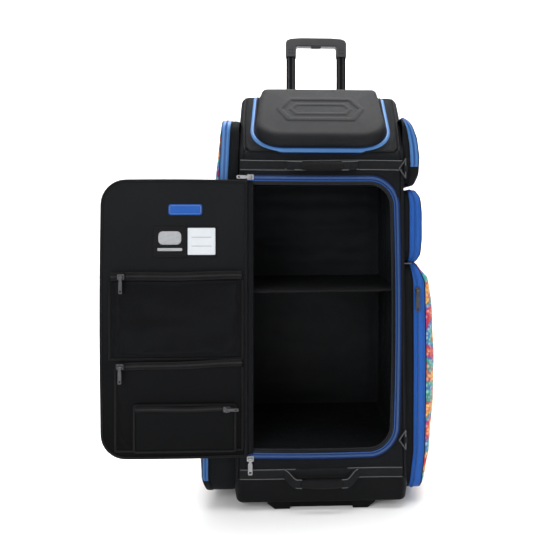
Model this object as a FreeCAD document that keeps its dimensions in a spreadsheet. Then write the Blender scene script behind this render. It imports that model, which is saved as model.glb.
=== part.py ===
"""Rolling bowling bag: a tall soft bag on two wheels with a zipped front door, a moulded top lid,
side pockets and a telescopic trolley.

Frame: X to the right, Y to the back, Z up, seen from the front. The origin is the centre of the front
skid's sole, on the floor, in the bag's mid-plane. The door is open by half a turn and the trolley is
partly drawn out.
"""
import FreeCAD, Part
import os
import Sketcher
from FreeCAD import Placement, Rotation, Vector

doc = FreeCAD.newDocument("RollingBowlingBag")

# Driving dimensions in millimetres: alias, value. Heights are above the floor.
DIMENSIONS = {
    # bag body
    "half_width": 172, "front_face": -30, "back_face": 270, "panel": 6, "front_panel_wall": 4,
    "boot_low": 17, "boot_high": 66, "boot_wall": 3, "boot_radius": 18,
    "slope_low": 743, "slope_run": 142, "top_rise": 30, "slope_back_gap": 4,
    # inside
    "back_wall": 260, "board": 3.5, "floor_top": 120, "shelf_low": 449, "shelf_front": -12,
    "ceiling_low": 690, "inside_gap": 0.5,
    # door opening and its zip
    "open_left": -144, "open_right": 150, "open_low": 122, "open_high": 682, "open_radius": 50,
    "zip_width": 14, "zip_wall": 1.2, "zip_left": -156,
    # front skid
    "foot_inner": 66, "foot_outer": 97, "foot_flare": 113, "foot_bevel": 12, "foot_depth": 25,
    "bar_depth": 17, "bar_high": 14,
    # wheels
    "wheel_radius": 42, "wheel_half": 13, "wheel_across": 148, "wheel_back": 255, "core_radius": 30,
    "tread_half": 4, "hub_radius": 15, "bearing_radius": 11, "bearing_wide": 7, "axle_radius": 4,
    "well_gap": 3, "housing_inner": 124, "housing_front": 203, "housing_back": 285, "housing_high": 97,
    "running_gap": 0.05, "press_gap": 0.02, "screw_head": 4, "screw_shank": 2,
    # trolley
    "trolley_y": 290, "trolley_x": 67, "tube_wide": 24, "tube_deep": 14, "tube_wall": 1.5, "tube_gap": 0.5,
    "outer_low": 80, "middle_low": 300, "upper_low": 560, "bezel_low": 889.5, "bezel_high": 918,
    "middle_high": 926, "cover_half": 105, "cover_back": 308, "cover_low": 62, "cover_wall": 4,
    "grip_low": 1036, "grip_under": 1063, "grip_high": 1086, "grip_half": 81, "grip_deep": 24,
    "button_half": 13, "button_deep": 14, "button_low": 1059.5, "button_high": 1072, "button_gap": 0.4,
    # side pockets
    "pocket_inner": 172.4, "pocket_wall": 3, "pocket_front": -12, "pocket_back": 222, "pocket_flat": 44,
    # door
    "door_left": -449, "door_right": -152, "door_low": 116, "door_high": 684, "door_inside": -43,
    "door_outside": -32, "binding": 6, "binding_proud": 0.6,
    # top pocket and lid, measured in the slope's own plane
    "tray_half": 130, "tray_low": 20, "tray_high": 180, "tray_deep": 55, "lid_half": 141, "lid_low": 3,
    "lid_high": 196, "lid_proud": 36, "lid_wall": 3, "lid_radius": 15, "lid_zip_half": 150,
    # webbing, grab handles and rings
    "webbing": 2.5, "strip_high": 21, "upper_strip": 705, "lower_strip": 66.5, "handle_half": 78,
    "handle_bar": 10, "handle_out": 22, "ring_wire": 1.75, "ring_high": 38, "ring_reach": 13,
    "ring_x": 175, "ring_y": -34.2, "tab_half": 6,
    # zip sliders
    "slider_long": 14, "slider_wide": 11, "slider_thick": 4, "slider_lift": 0.3, "pin_radius": 1, "pin_up": 6.3,
    "pull_wall": 2, "cheek_half": 1.6, "cheek_near": 3.2, "cheek_far": 5, "eye_half": 2.8, "neck_long": 9,
    "slot_edge": 3,
}

sheet = doc.addObject("Spreadsheet::Sheet", "Sizes")
for row, (alias, amount) in enumerate(DIMENSIONS.items(), 1):
    sheet.set(f"A{row}", alias)
    sheet.set(f"B{row}", str(amount))
    sheet.setAlias(f"B{row}", alias)
doc.recompute()


class Size:
    """A length worked out from sheet cells: its value, and the expression that binds it to them."""

    def __init__(self, text, value):
        self.text = text
        self.value = value

    def __add__(self, other):
        other = as_size(other)
        return Size(f"({self.text} + {other.text})", self.value + other.value)

    def __sub__(self, other):
        other = as_size(other)
        return Size(f"({self.text} - {other.text})", self.value - other.value)

    def __rsub__(self, other):
        return as_size(other) - self

    def __mul__(self, number):
        return Size(f"({self.text} * {number})", self.value * number)

    def __neg__(self):
        return self * -1


def as_size(amount):
    return amount if isinstance(amount, Size) else Size(f"({amount})", float(amount))


class Sheet:
    """Sheet cells by name, each as a Size."""

    def __getattr__(self, alias):
        return Size(f"Sizes.{alias}", float(sheet.get(alias)))


s = Sheet()
TURN_TO = {"x": Rotation(Vector(0, 1, 0), 90), "y": Rotation(Vector(1, 0, 0), -90), "z": Rotation()}
AXES = {"x": Vector(1, 0, 0), "y": Vector(0, 1, 0), "z": Vector(0, 0, 1)}
nodes = []


# ---------------------------------------------------------------- builders

def bind(item, path, amount):
    item.setExpression(path, as_size(amount).text)


def place(item, base, turn=Rotation()):
    """Turns an object about the origin and then moves it to base."""
    item.Placement = Placement(Vector(), turn)
    for axis, amount in zip("xyz", base):
        bind(item, ".Placement.Base." + axis, amount)
    return item


def box(name, x, y, z):
    item = doc.addObject("Part::Box", name)
    for side, axis, (low, high) in zip(("Length", "Width", "Height"), "xyz", (x, y, z)):
        bind(item, side, as_size(high) - low)
        bind(item, ".Placement.Base." + axis, low)
    return item


def rod(name, radius, start, length, axis="z"):
    item = doc.addObject("Part::Cylinder", name)
    bind(item, "Radius", radius)
    bind(item, "Height", length)
    return place(item, start, TURN_TO[axis])


def ball(name, radius, centre):
    item = doc.addObject("Part::Sphere", name)
    bind(item, "Radius", radius)
    return place(item, centre)


def fuse(name, *pieces):
    item = doc.addObject("Part::MultiFuse", name)
    item.Shapes = list(pieces)
    return item


def common(name, first, second):
    item = doc.addObject("Part::MultiCommon", name)
    item.Shapes = [first, second]
    return item


def cut(name, base, *tools):
    for count, tool in enumerate(tools, 1):
        item = doc.addObject("Part::Cut", name if count == len(tools) else f"{name}_cut{count}")
        item.Base = base
        item.Tool = tool
        base = item
    return base


def rounded(name, base, radius, keep):
    """Rounds the straight edges for which keep(direction, middle) holds."""
    doc.recompute()
    numbers = []
    for number, edge in enumerate(base.Shape.Edges, 1):
        if isinstance(edge.Curve, Part.Line) and keep(edge.tangentAt(edge.FirstParameter), edge.CenterOfMass):
            numbers.append(number)
    item = doc.addObject("Part::Fillet", name)
    item.Base = base
    item.Edges = [(number, radius.value, radius.value) for number in numbers]
    return item


def along(axis):
    """A test for rounded: edges that run along one axis."""
    return lambda direction, middle: abs(direction.dot(AXES[axis])) > 0.999


def outline_sketch(body, plane, outline):
    """A closed polygon on one of the body's origin planes, each corner bound to the sheet."""
    sketch = body.newObject("Sketcher::SketchObject", body.Name + "_outline")
    support = [feature for feature in body.Origin.OriginFeatures if feature.Role == plane + "_Plane"][0]
    sketch.AttachmentSupport = [(support, "")]
    sketch.MapMode = "FlatFace"
    corners = [(as_size(across), as_size(up)) for across, up in outline]
    for number, (across, up) in enumerate(corners):
        next_across, next_up = corners[(number + 1) % len(corners)]
        start = Vector(across.value, up.value, 0)
        end = Vector(next_across.value, next_up.value, 0)
        sketch.addGeometry(Part.LineSegment(start, end), False)
    for number in range(len(corners)):
        sketch.addConstraint(Sketcher.Constraint("Coincident", number, 2, (number + 1) % len(corners), 1))
    for number, corner in enumerate(corners):
        for kind, amount in zip(("DistanceX", "DistanceY"), corner):
            index = sketch.addConstraint(Sketcher.Constraint(kind, -1, 1, number, 1, amount.value))
            bind(sketch, f"Constraints[{index}]", amount)
    return sketch


def prism(name, plane, outline, low, high):
    """A padded outline that spans low to high along the plane's normal axis."""
    body = doc.addObject("PartDesign::Body", name)
    sketch = outline_sketch(body, plane, outline)
    offset = -as_size(high) if plane == "XZ" else as_size(low)
    bind(sketch, ".AttachmentOffset.Base.z", offset)
    pad = body.newObject("PartDesign::Pad", name + "_pad")
    pad.Profile = sketch
    bind(pad, "Length", as_size(high) - low)
    return body


def turned(name, profile, centre):
    """A ring turned about an axis along X through centre; profile is (along the axis, radius)."""
    body = doc.addObject("PartDesign::Body", name)
    sketch = outline_sketch(body, "XY", profile)
    ring = body.newObject("PartDesign::Revolution", name + "_turn")
    ring.Profile = sketch
    ring.ReferenceAxis = (sketch, ["H_Axis"])
    ring.Angle = 360
    return place(body, centre)


def node(name, item):
    """Registers an object as a sub-part under its own name."""
    item.Label = name
    nodes.append(item)
    return item


SIDES = (("left", -1), ("right", 1))


# ---------------------------------------------------------------- base: boot, skid, wheels

def span(side, near, far):
    """An X range on one side of the mid-plane."""
    near, far = as_size(near), as_size(far)
    return (near, far) if side > 0 else (-far, -near)


def base_tray():
    shell = box("boot_block", (-s.half_width, s.half_width), (s.front_face, s.back_face), (s.boot_low, s.boot_high))

    def low_or_upright(direction, middle):
        return middle.z < s.boot_high.value - 1

    shell = rounded("boot_rounded", shell, s.boot_radius, low_or_upright)
    hollow = box(
        "boot_hollow",
        (s.boot_radius * 0.3 - s.half_width, s.half_width - s.boot_radius * 0.3),
        (s.front_face + s.boot_radius * 0.3, s.back_face - s.boot_radius * 0.3),
        (s.boot_low + s.boot_radius * 0.3, s.boot_high + 1),
    )
    corners = []
    for label, side in SIDES:
        corner_x = span(side, s.housing_inner - s.inside_gap, s.half_width + 1)
        corner_y = (s.housing_front - s.inside_gap, s.back_face + 1)
        corners.append(box(f"boot_corner_{label}", corner_x, corner_y, (s.boot_low - 1, s.boot_high + 1)))
    node("base_tray", cut("boot", shell, hollow, *corners))


def front_skid():
    feet = []
    for label, side in SIDES:
        outline = [
            (s.foot_inner * side, 0),
            (s.foot_outer * side, 0),
            (s.foot_flare * side, s.foot_bevel),
            (s.foot_flare * side, s.boot_low),
            ((s.foot_inner - 5) * side, s.boot_low),
        ]
        feet.append(prism(f"foot_{label}", "XZ", outline, -s.foot_depth, s.foot_depth))
    bar = box("skid_bar", (-s.foot_inner - 2, s.foot_inner + 2), (-s.bar_depth, s.bar_depth), (0, s.bar_high))
    node("front_skid", fuse("skid", bar, *feet))


def wheel_set(label, side):
    """One wheel with its housing, axle, tyre, core and pair of bearings."""
    centre = (s.wheel_across * side, s.wheel_back, s.wheel_radius)
    block = box(
        f"housing_block_{label}",
        span(side, s.housing_inner, s.half_width),
        (s.housing_front, s.housing_back),
        (s.boot_low, s.housing_high),
    )

    def upper_rear(direction, middle):
        return along("x")(direction, middle) and middle.y > s.wheel_back.value and middle.z > s.wheel_radius.value

    block = rounded(f"housing_rounded_{label}", block, s.boot_radius, upper_rear)
    well_half = s.wheel_half + s.well_gap
    well = box(
        f"well_{label}",
        span(side, s.wheel_across - well_half, s.wheel_across + well_half),
        (s.wheel_back - s.wheel_radius - s.well_gap, s.housing_back + 1),
        (s.boot_low - 1, s.wheel_radius * 2 + s.well_gap),
    )
    bore_low = span(side, s.housing_inner - 1, s.half_width + 1)[0]
    axle_hole = rod(
        f"axle_hole_{label}",
        s.axle_radius + s.press_gap,
        (bore_low, s.wheel_back, s.wheel_radius),
        s.half_width - s.housing_inner + 2,
        "x",
    )
    screw_holes = []
    for number, height in enumerate(screw_heights()):
        start = (span(side, s.half_width - 6, s.half_width + 1)[0], s.back_face, height)
        screw_holes.append(rod(f"screw_hole_{label}_{number}", s.screw_shank + s.press_gap, start, as_size(7), "x"))
    node(f"wheel_housing_{label}", cut(f"housing_{label}", block, well, axle_hole, *screw_holes))

    shank_low = span(side, s.housing_inner + 0.5, s.half_width)[0]
    shank_long = s.half_width - s.housing_inner - 0.5
    shank = rod(f"axle_shank_{label}", s.axle_radius, (shank_low, s.wheel_back, s.wheel_radius), shank_long, "x")
    head_low = span(side, s.half_width, s.half_width + 2.5)[0]
    head = rod(f"axle_head_{label}", s.axle_radius * 2, (head_low, s.wheel_back, s.wheel_radius), as_size(2.5), "x")
    node(f"axle_{label}", fuse(f"axle_join_{label}", shank, head))

    rim = s.core_radius - s.press_gap
    half = s.wheel_half
    shoulder = s.wheel_radius - 6
    tyre = [
        (-half, s.core_radius), (-half, shoulder), (-half + 4, s.wheel_radius - 1),
        (-s.tread_half, s.wheel_radius), (s.tread_half, s.wheel_radius),
        (half - 4, s.wheel_radius - 1), (half, shoulder), (half, s.core_radius),
    ]
    node(f"tyre_{label}", turned(f"tyre_ring_{label}", tyre, centre))
    bore = s.bearing_radius + s.press_gap
    core = [
        (-half, bore), (half, bore), (half, s.hub_radius), (3, s.hub_radius), (3, rim - 4),
        (half - 1, rim - 4), (half - 1, rim), (-half + 1, rim), (-half + 1, rim - 4), (-3, rim - 4),
        (-3, s.hub_radius), (-half, s.hub_radius),
    ]
    disc = turned(f"core_ring_{label}", core, centre)
    windows = []
    for number in range(6):
        aim = Rotation(Vector(1, 0, 0), 60 * number).multVec(Vector(0, 20.5, 0))
        start = (centre[0] - 4, centre[1] + aim.y, centre[2] + aim.z)
        windows.append(rod(f"core_window_{label}_{number}", 3.8, start, as_size(8), "x"))
    node(f"wheel_core_{label}", cut(f"core_{label}", disc, *windows))
    races = []
    inner = s.axle_radius + s.running_gap
    for number, start in enumerate((-half + 1, half - 1 - s.bearing_wide)):
        ring = [
            (start, inner), (start + s.bearing_wide, inner),
            (start + s.bearing_wide, s.bearing_radius), (start, s.bearing_radius),
        ]
        races.append(turned(f"bearing_{label}_{number}", ring, centre))
    node(f"bearings_{label}", fuse(f"bearing_pair_{label}", *races))


def screw_heights():
    return (s.housing_high - 34, s.housing_high - 60)


def housing_screws():
    pieces = []
    for label, side in SIDES:
        for number, height in enumerate(screw_heights()):
            shank_x = span(side, s.half_width - 5, s.half_width)[0]
            head_x = span(side, s.half_width, s.half_width + 1.6)[0]
            shank_start = (shank_x, s.back_face, height)
            head_start = (head_x, s.back_face, height)
            pieces.append(rod(f"screw_shank_{label}_{number}", s.screw_shank, shank_start, as_size(5), "x"))
            pieces.append(rod(f"screw_head_{label}_{number}", s.screw_head, head_start, as_size(1.6), "x"))
    node("housing_screws", fuse("screw_group", *pieces))


# ---------------------------------------------------------------- bag body

def slope_top():
    """Y and Z of the top edge of the front slope."""
    return s.front_face + s.slope_run, s.slope_low + s.slope_run


def body_panels():
    edge_y, edge_z = slope_top()
    back_z = edge_z + s.top_rise
    inner = s.half_width - s.panel
    front = s.front_face + s.front_panel_wall
    corner_z = s.housing_high + s.inside_gap
    corner_y = s.housing_front - s.inside_gap
    outline = [
        (front, s.boot_high), (front, s.slope_low + s.front_panel_wall), (edge_y, edge_z),
        (s.back_face, back_z), (s.back_face, corner_z), (corner_y, corner_z), (corner_y, s.boot_high),
    ]
    for label, side in SIDES:
        low, high = span(side, inner, s.half_width)
        node(f"{label}_side_panel", prism(f"side_{label}", "YZ", outline, low, high))
    notch = s.housing_inner - s.inside_gap
    back = [
        (-inner, corner_z), (-notch, corner_z), (-notch, s.boot_high), (notch, s.boot_high),
        (notch, corner_z), (inner, corner_z), (inner, back_z - s.panel - 2), (-inner, back_z - s.panel - 2),
    ]
    node("back_panel", prism("back", "XZ", back, s.back_face - s.panel, s.back_face))
    top = [
        (edge_y, edge_z), (s.back_face, back_z), (s.back_face, back_z - s.panel), (edge_y, edge_z - s.panel),
    ]
    node("top_panel", prism("top", "YZ", top, -inner, inner))

    face = box(
        "front_blank",
        (-s.half_width, s.half_width),
        (s.front_face, s.front_face + s.front_panel_wall),
        (s.boot_high, s.slope_low),
    )
    node("front_panel", cut("front", face, opening_tool("front_opening", s.open_left, 0)))


def opening_tool(name, left, grow):
    """The door opening as a cutting block, with rounded corners on the free side of the door."""
    block = box(
        name + "_block",
        (left, s.open_right + grow),
        (s.front_face - 5, s.front_face + 10),
        (s.open_low - grow, s.open_high + grow),
    )
    radius = s.open_radius + grow

    def free_corner(direction, middle):
        return along("y")(direction, middle) and middle.x > 0

    return rounded(name, block, radius, free_corner)


def main_zip_tape():
    outer = opening_tool("zip_outer", s.zip_left, s.zip_width)
    inner = opening_tool("zip_inner", s.zip_left - 1, 0)
    layer = box(
        "zip_layer", (-s.half_width, s.half_width), (s.front_face - s.zip_wall, s.front_face), (0, s.slope_low)
    )
    node("main_zip_tape", common("zip_ring", cut("zip_frame", outer, inner), layer))


def inside_boards():
    inner = s.half_width - s.panel - s.inside_gap
    front = s.front_face + s.front_panel_wall + s.inside_gap
    back = s.back_wall - s.inside_gap
    wide = (-inner, inner)
    node("floor_board", box("floor", wide, (front, back), (s.floor_top - s.panel, s.floor_top)))
    node("shelf", box("shelf_pad", wide, (s.shelf_front, back), (s.shelf_low, s.shelf_low + s.panel)))
    ceiling = (s.ceiling_low, s.ceiling_low + s.front_panel_wall)
    node("ceiling_panel", box("ceiling", wide, (front, s.back_wall + s.board), ceiling))
    stiff_x = (s.panel * 3 - s.half_width, s.half_width - s.panel * 3)
    stiff_z = (s.floor_top - s.panel, s.ceiling_low - s.inside_gap)
    node("back_board", box("stiffener", stiff_x, (s.back_wall, s.back_wall + s.board), stiff_z))


# ---------------------------------------------------------------- top pocket and lid

SLOPE_TURN = Rotation(Vector(1, 0, 0), 45)


def on_slope(item):
    """Moves an object from the slope's own frame, Y up the slope and Z out of it, to the bag."""
    return place(item, (0, s.front_face, s.slope_low), SLOPE_TURN)


def slope_box(name, half, y, z):
    return box(name, (-half, half), y, z)


def top_pocket():
    rim_half = s.half_width - s.panel - s.inside_gap
    wall = s.lid_wall
    rim = slope_box("rim", rim_half, (wall * 2, s.slope_run * 1.414 - s.slope_back_gap), (-wall, 0))
    tub = slope_box("tub", s.tray_half, (s.tray_low, s.tray_high), (-s.tray_deep, -wall))
    hollow = slope_box(
        "tub_hollow", s.tray_half - wall, (s.tray_low + wall, s.tray_high - wall), (wall - s.tray_deep, 1)
    )
    node("top_pocket_tray", on_slope(cut("tray", fuse("tray_solid", rim, tub), hollow)))

    band = s.zip_width * 0.6
    outer = slope_box("lid_zip_outer", s.lid_zip_half, (0, s.lid_high + 2), (0, s.zip_wall))
    inner = slope_box("lid_zip_inner", s.lid_zip_half - band, (band, s.lid_high + 3), (-1, s.zip_wall + 1))
    node("lid_zip_tape", on_slope(cut("lid_zip", outer, inner)))


def lid_shell():
    foot = s.zip_wall + 0.6
    halves = []
    for name, inset in (("lid_outer", 0), ("lid_inner", 1)):
        step = s.lid_wall * inset
        block = slope_box(
            name + "_block",
            s.lid_half - step,
            (s.lid_low + step, s.lid_high - step),
            (foot - inset, s.lid_proud - step),
        )

        def not_the_foot(direction, middle):
            return middle.z > foot.value + 1

        halves.append(rounded(name, block, s.lid_radius - step, not_the_foot))
    node("lid_shell", on_slope(cut("lid", *halves)))


# ---------------------------------------------------------------- side pockets

def side_pocket(name, side, profile):
    """An open-backed pocket that is zipped shut: profile is its outer edge seen from the front,
    bottom to top, as (X from the mid-plane, Z)."""
    layers = []
    for layer, inset in (("outer", 0), ("inner", 1)):
        step = s.pocket_wall * inset
        bottom, top = profile[0][1], profile[-1][1]
        inner_x = s.pocket_inner - inset
        front_view = [(inner_x * side, as_size(bottom) + step)]
        for reach, height in profile:
            lift = step * (1 if height < (bottom + top) / 2 else -1)
            front_view.append(((as_size(reach) - step) * side, as_size(height) + lift))
        front_view.append((inner_x * side, as_size(top) - step))
        front, back = s.pocket_front + step, s.pocket_back - step
        full = as_size(max(reach for reach, height in profile)) + 1 - step
        gusset = s.pocket_inner + s.pocket_flat - step
        plan = [
            (inner_x * side, front), (gusset * side, front), ((gusset + 26) * side, front + 26),
            (full * side, front + 80), (full * side, back - 80), ((gusset + 26) * side, back - 26),
            (gusset * side, back), (inner_x * side, back),
        ]
        by_front = prism(f"{name}_{layer}_front", "XZ", front_view, s.pocket_front - 1, s.pocket_back + 1)
        by_plan = prism(f"{name}_{layer}_plan", "XY", plan, as_size(bottom) - 1, as_size(top) + 1)
        layers.append(common(f"{name}_{layer}", by_front, by_plan))
    node(name, cut(f"{name}_shell", *layers))


def side_pockets():
    side_pocket("left_pocket", -1, [(252, 25), (266, 60), (266, 320), (240, 700), (222, 795), (205, 814)])
    side_pocket("lower_right_pocket", 1, [(232, 25), (256, 90), (265, 260), (258, 430), (240, 496), (216, 509)])
    side_pocket("middle_right_pocket", 1, [(216, 511), (228, 535), (228, 645), (216, 666)])
    side_pocket("upper_right_pocket", 1, [(200, 677), (218, 692), (223, 730), (216, 780), (190, 822)])


# ---------------------------------------------------------------- webbing, handles, rings

RING_HEIGHTS = {"upper": 709, "lower": 144}


def webbing_and_handles():
    strips = []
    for label, low in (("upper", s.upper_strip), ("lower", s.lower_strip)):
        strips.append(box(
            f"strip_{label}",
            (s.panel - s.half_width, s.half_width - s.panel * 2),
            (s.front_face - s.webbing, s.front_face),
            (low, low + s.strip_high),
        ))
        face = s.front_face - s.webbing
        out = s.front_face - s.handle_out
        plan = [
            (-s.handle_half, face), (16 - s.handle_half, out), (s.handle_half - 16, out), (s.handle_half, face),
            (s.handle_half - 12, face), (s.handle_half - 24, out + s.handle_bar),
            (24 - s.handle_half, out + s.handle_bar), (12 - s.handle_half, face),
        ]
        droop = as_size(2 if label == "upper" else 14)
        handle = prism(f"grab_{label}", "XY", plan, low - droop, low + s.strip_high - droop)
        node(f"{label}_grab_handle", handle)
    for label, height in RING_HEIGHTS.items():
        block = box(
            f"tab_block_{label}",
            (s.ring_x - 5, s.ring_x + 3),
            (s.ring_y - 3, s.front_face),
            (as_size(height) - s.tab_half, as_size(height) + s.tab_half),
        )
        bore_start = (s.ring_x, s.ring_y, as_size(height) - s.tab_half - 1)
        bore = rod(f"tab_bore_{label}", s.ring_wire + s.running_gap * 2, bore_start, s.tab_half * 2 + 2)
        strips.append(cut(f"tab_{label}", block, bore))
    node("webbing", fuse("webbing_group", *strips))


def tilted_bar(name, radius, start, end):
    """A round bar between two points; the points are tuples of Sizes."""
    run = Vector(*[(as_size(b) - a).value for a, b in zip(start, end)])
    item = doc.addObject("Part::Cylinder", name)
    bind(item, "Radius", radius)
    item.Height = run.Length
    return place(item, start, Rotation(Vector(0, 0, 1), run))


def triangle_ring(label, height):
    half = s.ring_high * 0.5
    top = (s.ring_x, s.ring_y, as_size(height) + half)
    low = (s.ring_x, s.ring_y, as_size(height) - half)
    tip = (s.ring_x - s.ring_reach, s.ring_y, as_size(height))
    pieces = []
    for number, (start, end) in enumerate(((low, top), (top, tip), (tip, low))):
        pieces.append(tilted_bar(f"ring_bar_{label}_{number}", s.ring_wire, start, end))
        pieces.append(ball(f"ring_corner_{label}_{number}", s.ring_wire, start))
    node(f"{label}_ring", fuse(f"ring_{label}", *pieces))


# ---------------------------------------------------------------- trolley

def tube_pair(name, wide, deep, low, high):
    """Two upright rectangular tubes, one each side of the mid-plane."""
    tubes = []
    for label, side in SIDES:
        blocks = []
        for layer, trim in (("wall", 0), ("bore", 1)):
            half_x = wide * 0.5 - s.tube_wall * trim
            half_y = deep * 0.5 - s.tube_wall * trim
            blocks.append(box(
                f"{name}_{layer}_{label}",
                span(side, s.trolley_x - half_x, s.trolley_x + half_x),
                (s.trolley_y - half_y, s.trolley_y + half_y),
                (low - trim, high + trim),
            ))
        tubes.append(cut(f"{name}_{label}", *blocks))
    node(name, fuse(f"{name}_pair", *tubes))


def tube_cutters(name, wide, deep, gap, low, high):
    """Blocks that cut clearance holes for a pair of tubes."""
    tools = []
    for label, side in SIDES:
        half_x = wide * 0.5 + gap
        half_y = deep * 0.5 + gap
        x = span(side, s.trolley_x - half_x, s.trolley_x + half_x)
        tools.append(box(f"{name}_{label}", x, (s.trolley_y - half_y, s.trolley_y + half_y), (low, high)))
    return tools


def trolley():
    grow = (s.tube_wall + s.tube_gap) * 2
    middle_wide, middle_deep = s.tube_wide + grow, s.tube_deep + grow
    outer_wide, outer_deep = middle_wide + grow, middle_deep + grow
    tube_pair("trolley_outer_tubes", outer_wide, outer_deep, s.outer_low, s.bezel_low)
    tube_pair("trolley_middle_tubes", middle_wide, middle_deep, s.middle_low, s.middle_high)
    tube_pair("trolley_upper_tubes", s.tube_wide, s.tube_deep, s.upper_low, s.grip_low + 18)

    bezel_half = s.cover_half - 1
    bezel_x = (-bezel_half, bezel_half)
    bezel = box("bezel_block", bezel_x, (s.back_face + 0.3, s.cover_back - 1), (s.bezel_low, s.bezel_high))
    bezel = rounded("bezel_rounded", bezel, s.boot_wall, lambda direction, middle: middle.z > s.bezel_high.value - 1)
    holes = tube_cutters("bezel_hole", middle_wide, middle_deep, s.tube_gap, s.bezel_low - 1, s.bezel_high + 1)
    node("trolley_bezel", cut("bezel", bezel, *holes))

    bracket_x = (4 - s.cover_half + s.cover_wall, s.cover_half - s.cover_wall - 4)
    bracket_y = (s.back_face + 0.3, s.cover_back - s.cover_wall - 0.5)
    bracket_z = (s.cover_low + s.cover_wall + 0.5, s.outer_low)
    node("trolley_foot_bracket", box("bracket", bracket_x, bracket_y, bracket_z))

    shell = box(
        "cover_block",
        (-s.cover_half, s.cover_half),
        (s.back_face, s.cover_back),
        (s.cover_low, s.bezel_low - s.inside_gap),
    )
    shell = rounded(
        "cover_rounded", shell, s.boot_wall * 3,
        lambda direction, middle: along("z")(direction, middle) and middle.y > s.trolley_y.value,
    )
    hollow = box(
        "cover_hollow",
        (s.cover_wall - s.cover_half, s.cover_half - s.cover_wall),
        (s.back_face - 1, s.cover_back - s.cover_wall),
        (s.cover_low + s.cover_wall, s.bezel_low),
    )
    node("back_cover", cut("cover", shell, hollow))


def grip_and_button():
    half_deep = s.grip_deep * 0.5
    y = (s.trolley_y - half_deep, s.trolley_y + half_deep)
    leg_inner = s.trolley_x * 2 - s.grip_half
    outline = [
        (-s.grip_half, s.grip_low), (-leg_inner, s.grip_low), (-leg_inner, s.grip_under - 3),
        (-leg_inner + 3, s.grip_under), (leg_inner - 3, s.grip_under), (leg_inner, s.grip_under - 3),
        (leg_inner, s.grip_low), (s.grip_half, s.grip_low), (s.grip_half, s.grip_high - 13),
        (s.grip_half - 4, s.grip_high - 6), (s.grip_half - 14, s.grip_high - 2), (40, s.grip_high),
        (-40, s.grip_high), (14 - s.grip_half, s.grip_high - 2), (4 - s.grip_half, s.grip_high - 6),
        (-s.grip_half, s.grip_high - 13),
    ]
    frame = prism("grip_frame", "XZ", outline, *y)
    frame = rounded(
        "grip_rounded", frame, s.boot_wall,
        lambda direction, middle: abs(direction.y) < 0.1 and middle.z > s.grip_low.value + 1,
    )
    sockets = tube_cutters("grip_socket", s.tube_wide, s.tube_deep, s.press_gap, s.grip_low - 1, s.grip_low + 18.3)
    button_half_y = s.button_deep * 0.5
    recess = box(
        "button_recess",
        (-s.button_half - s.button_gap, s.button_half + s.button_gap),
        (s.trolley_y - button_half_y - s.button_gap, s.trolley_y + button_half_y + s.button_gap),
        (s.grip_under - 1, s.button_high + 4.5),
    )
    node("trolley_grip", cut("grip", frame, recess, *sockets))
    button = box(
        "button_block",
        (-s.button_half, s.button_half),
        (s.trolley_y - button_half_y, s.trolley_y + button_half_y),
        (s.button_low, s.button_high),
    )
    button = rounded("button", button, s.pull_wall, lambda direction, middle: middle.z < s.button_low.value + 1)
    node("release_button", button)


# ---------------------------------------------------------------- door

def door():
    y = (s.door_inside, s.door_outside)
    panel_x = (s.door_left + s.binding, s.door_right - s.binding)
    panel_z = (s.door_low + s.binding, s.door_high - s.binding)

    def free_corner(direction, middle):
        return along("y")(direction, middle) and middle.x < s.door_left.value + 50

    panel = rounded("door_core", box("door_block", panel_x, y, panel_z), s.open_radius - s.binding, free_corner)
    node("door_panel", panel)
    proud = (s.door_inside - s.binding_proud, s.door_outside + s.binding_proud)
    edge = box("binding_block", (s.door_left, s.door_right), proud, (s.door_low, s.door_high))
    edge = rounded("binding_outer", edge, s.open_radius, free_corner)
    middle = box("binding_hole_block", panel_x, (s.door_inside - 5, s.door_outside + 5), panel_z)
    middle = rounded("binding_hole", middle, s.open_radius - s.binding, free_corner)
    node("door_binding", cut("binding_ring", edge, middle))

    face = s.door_inside
    node("card_window", box("card", (-274, -216), (face - 1.2, face), (530, 587)))
    node("door_upper_pocket", box("upper_bag", (-430, -166), (face - 10, face), (320, 496)))
    node("door_lower_pocket", box("lower_bag", (-418, -166), (face - 8, face), (134, 314)))
    node("door_small_pocket", box("small_bag", (-379, -176), (face - 13.5, face - 8.2), (134, 228)))


# ---------------------------------------------------------------- zip sliders

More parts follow.
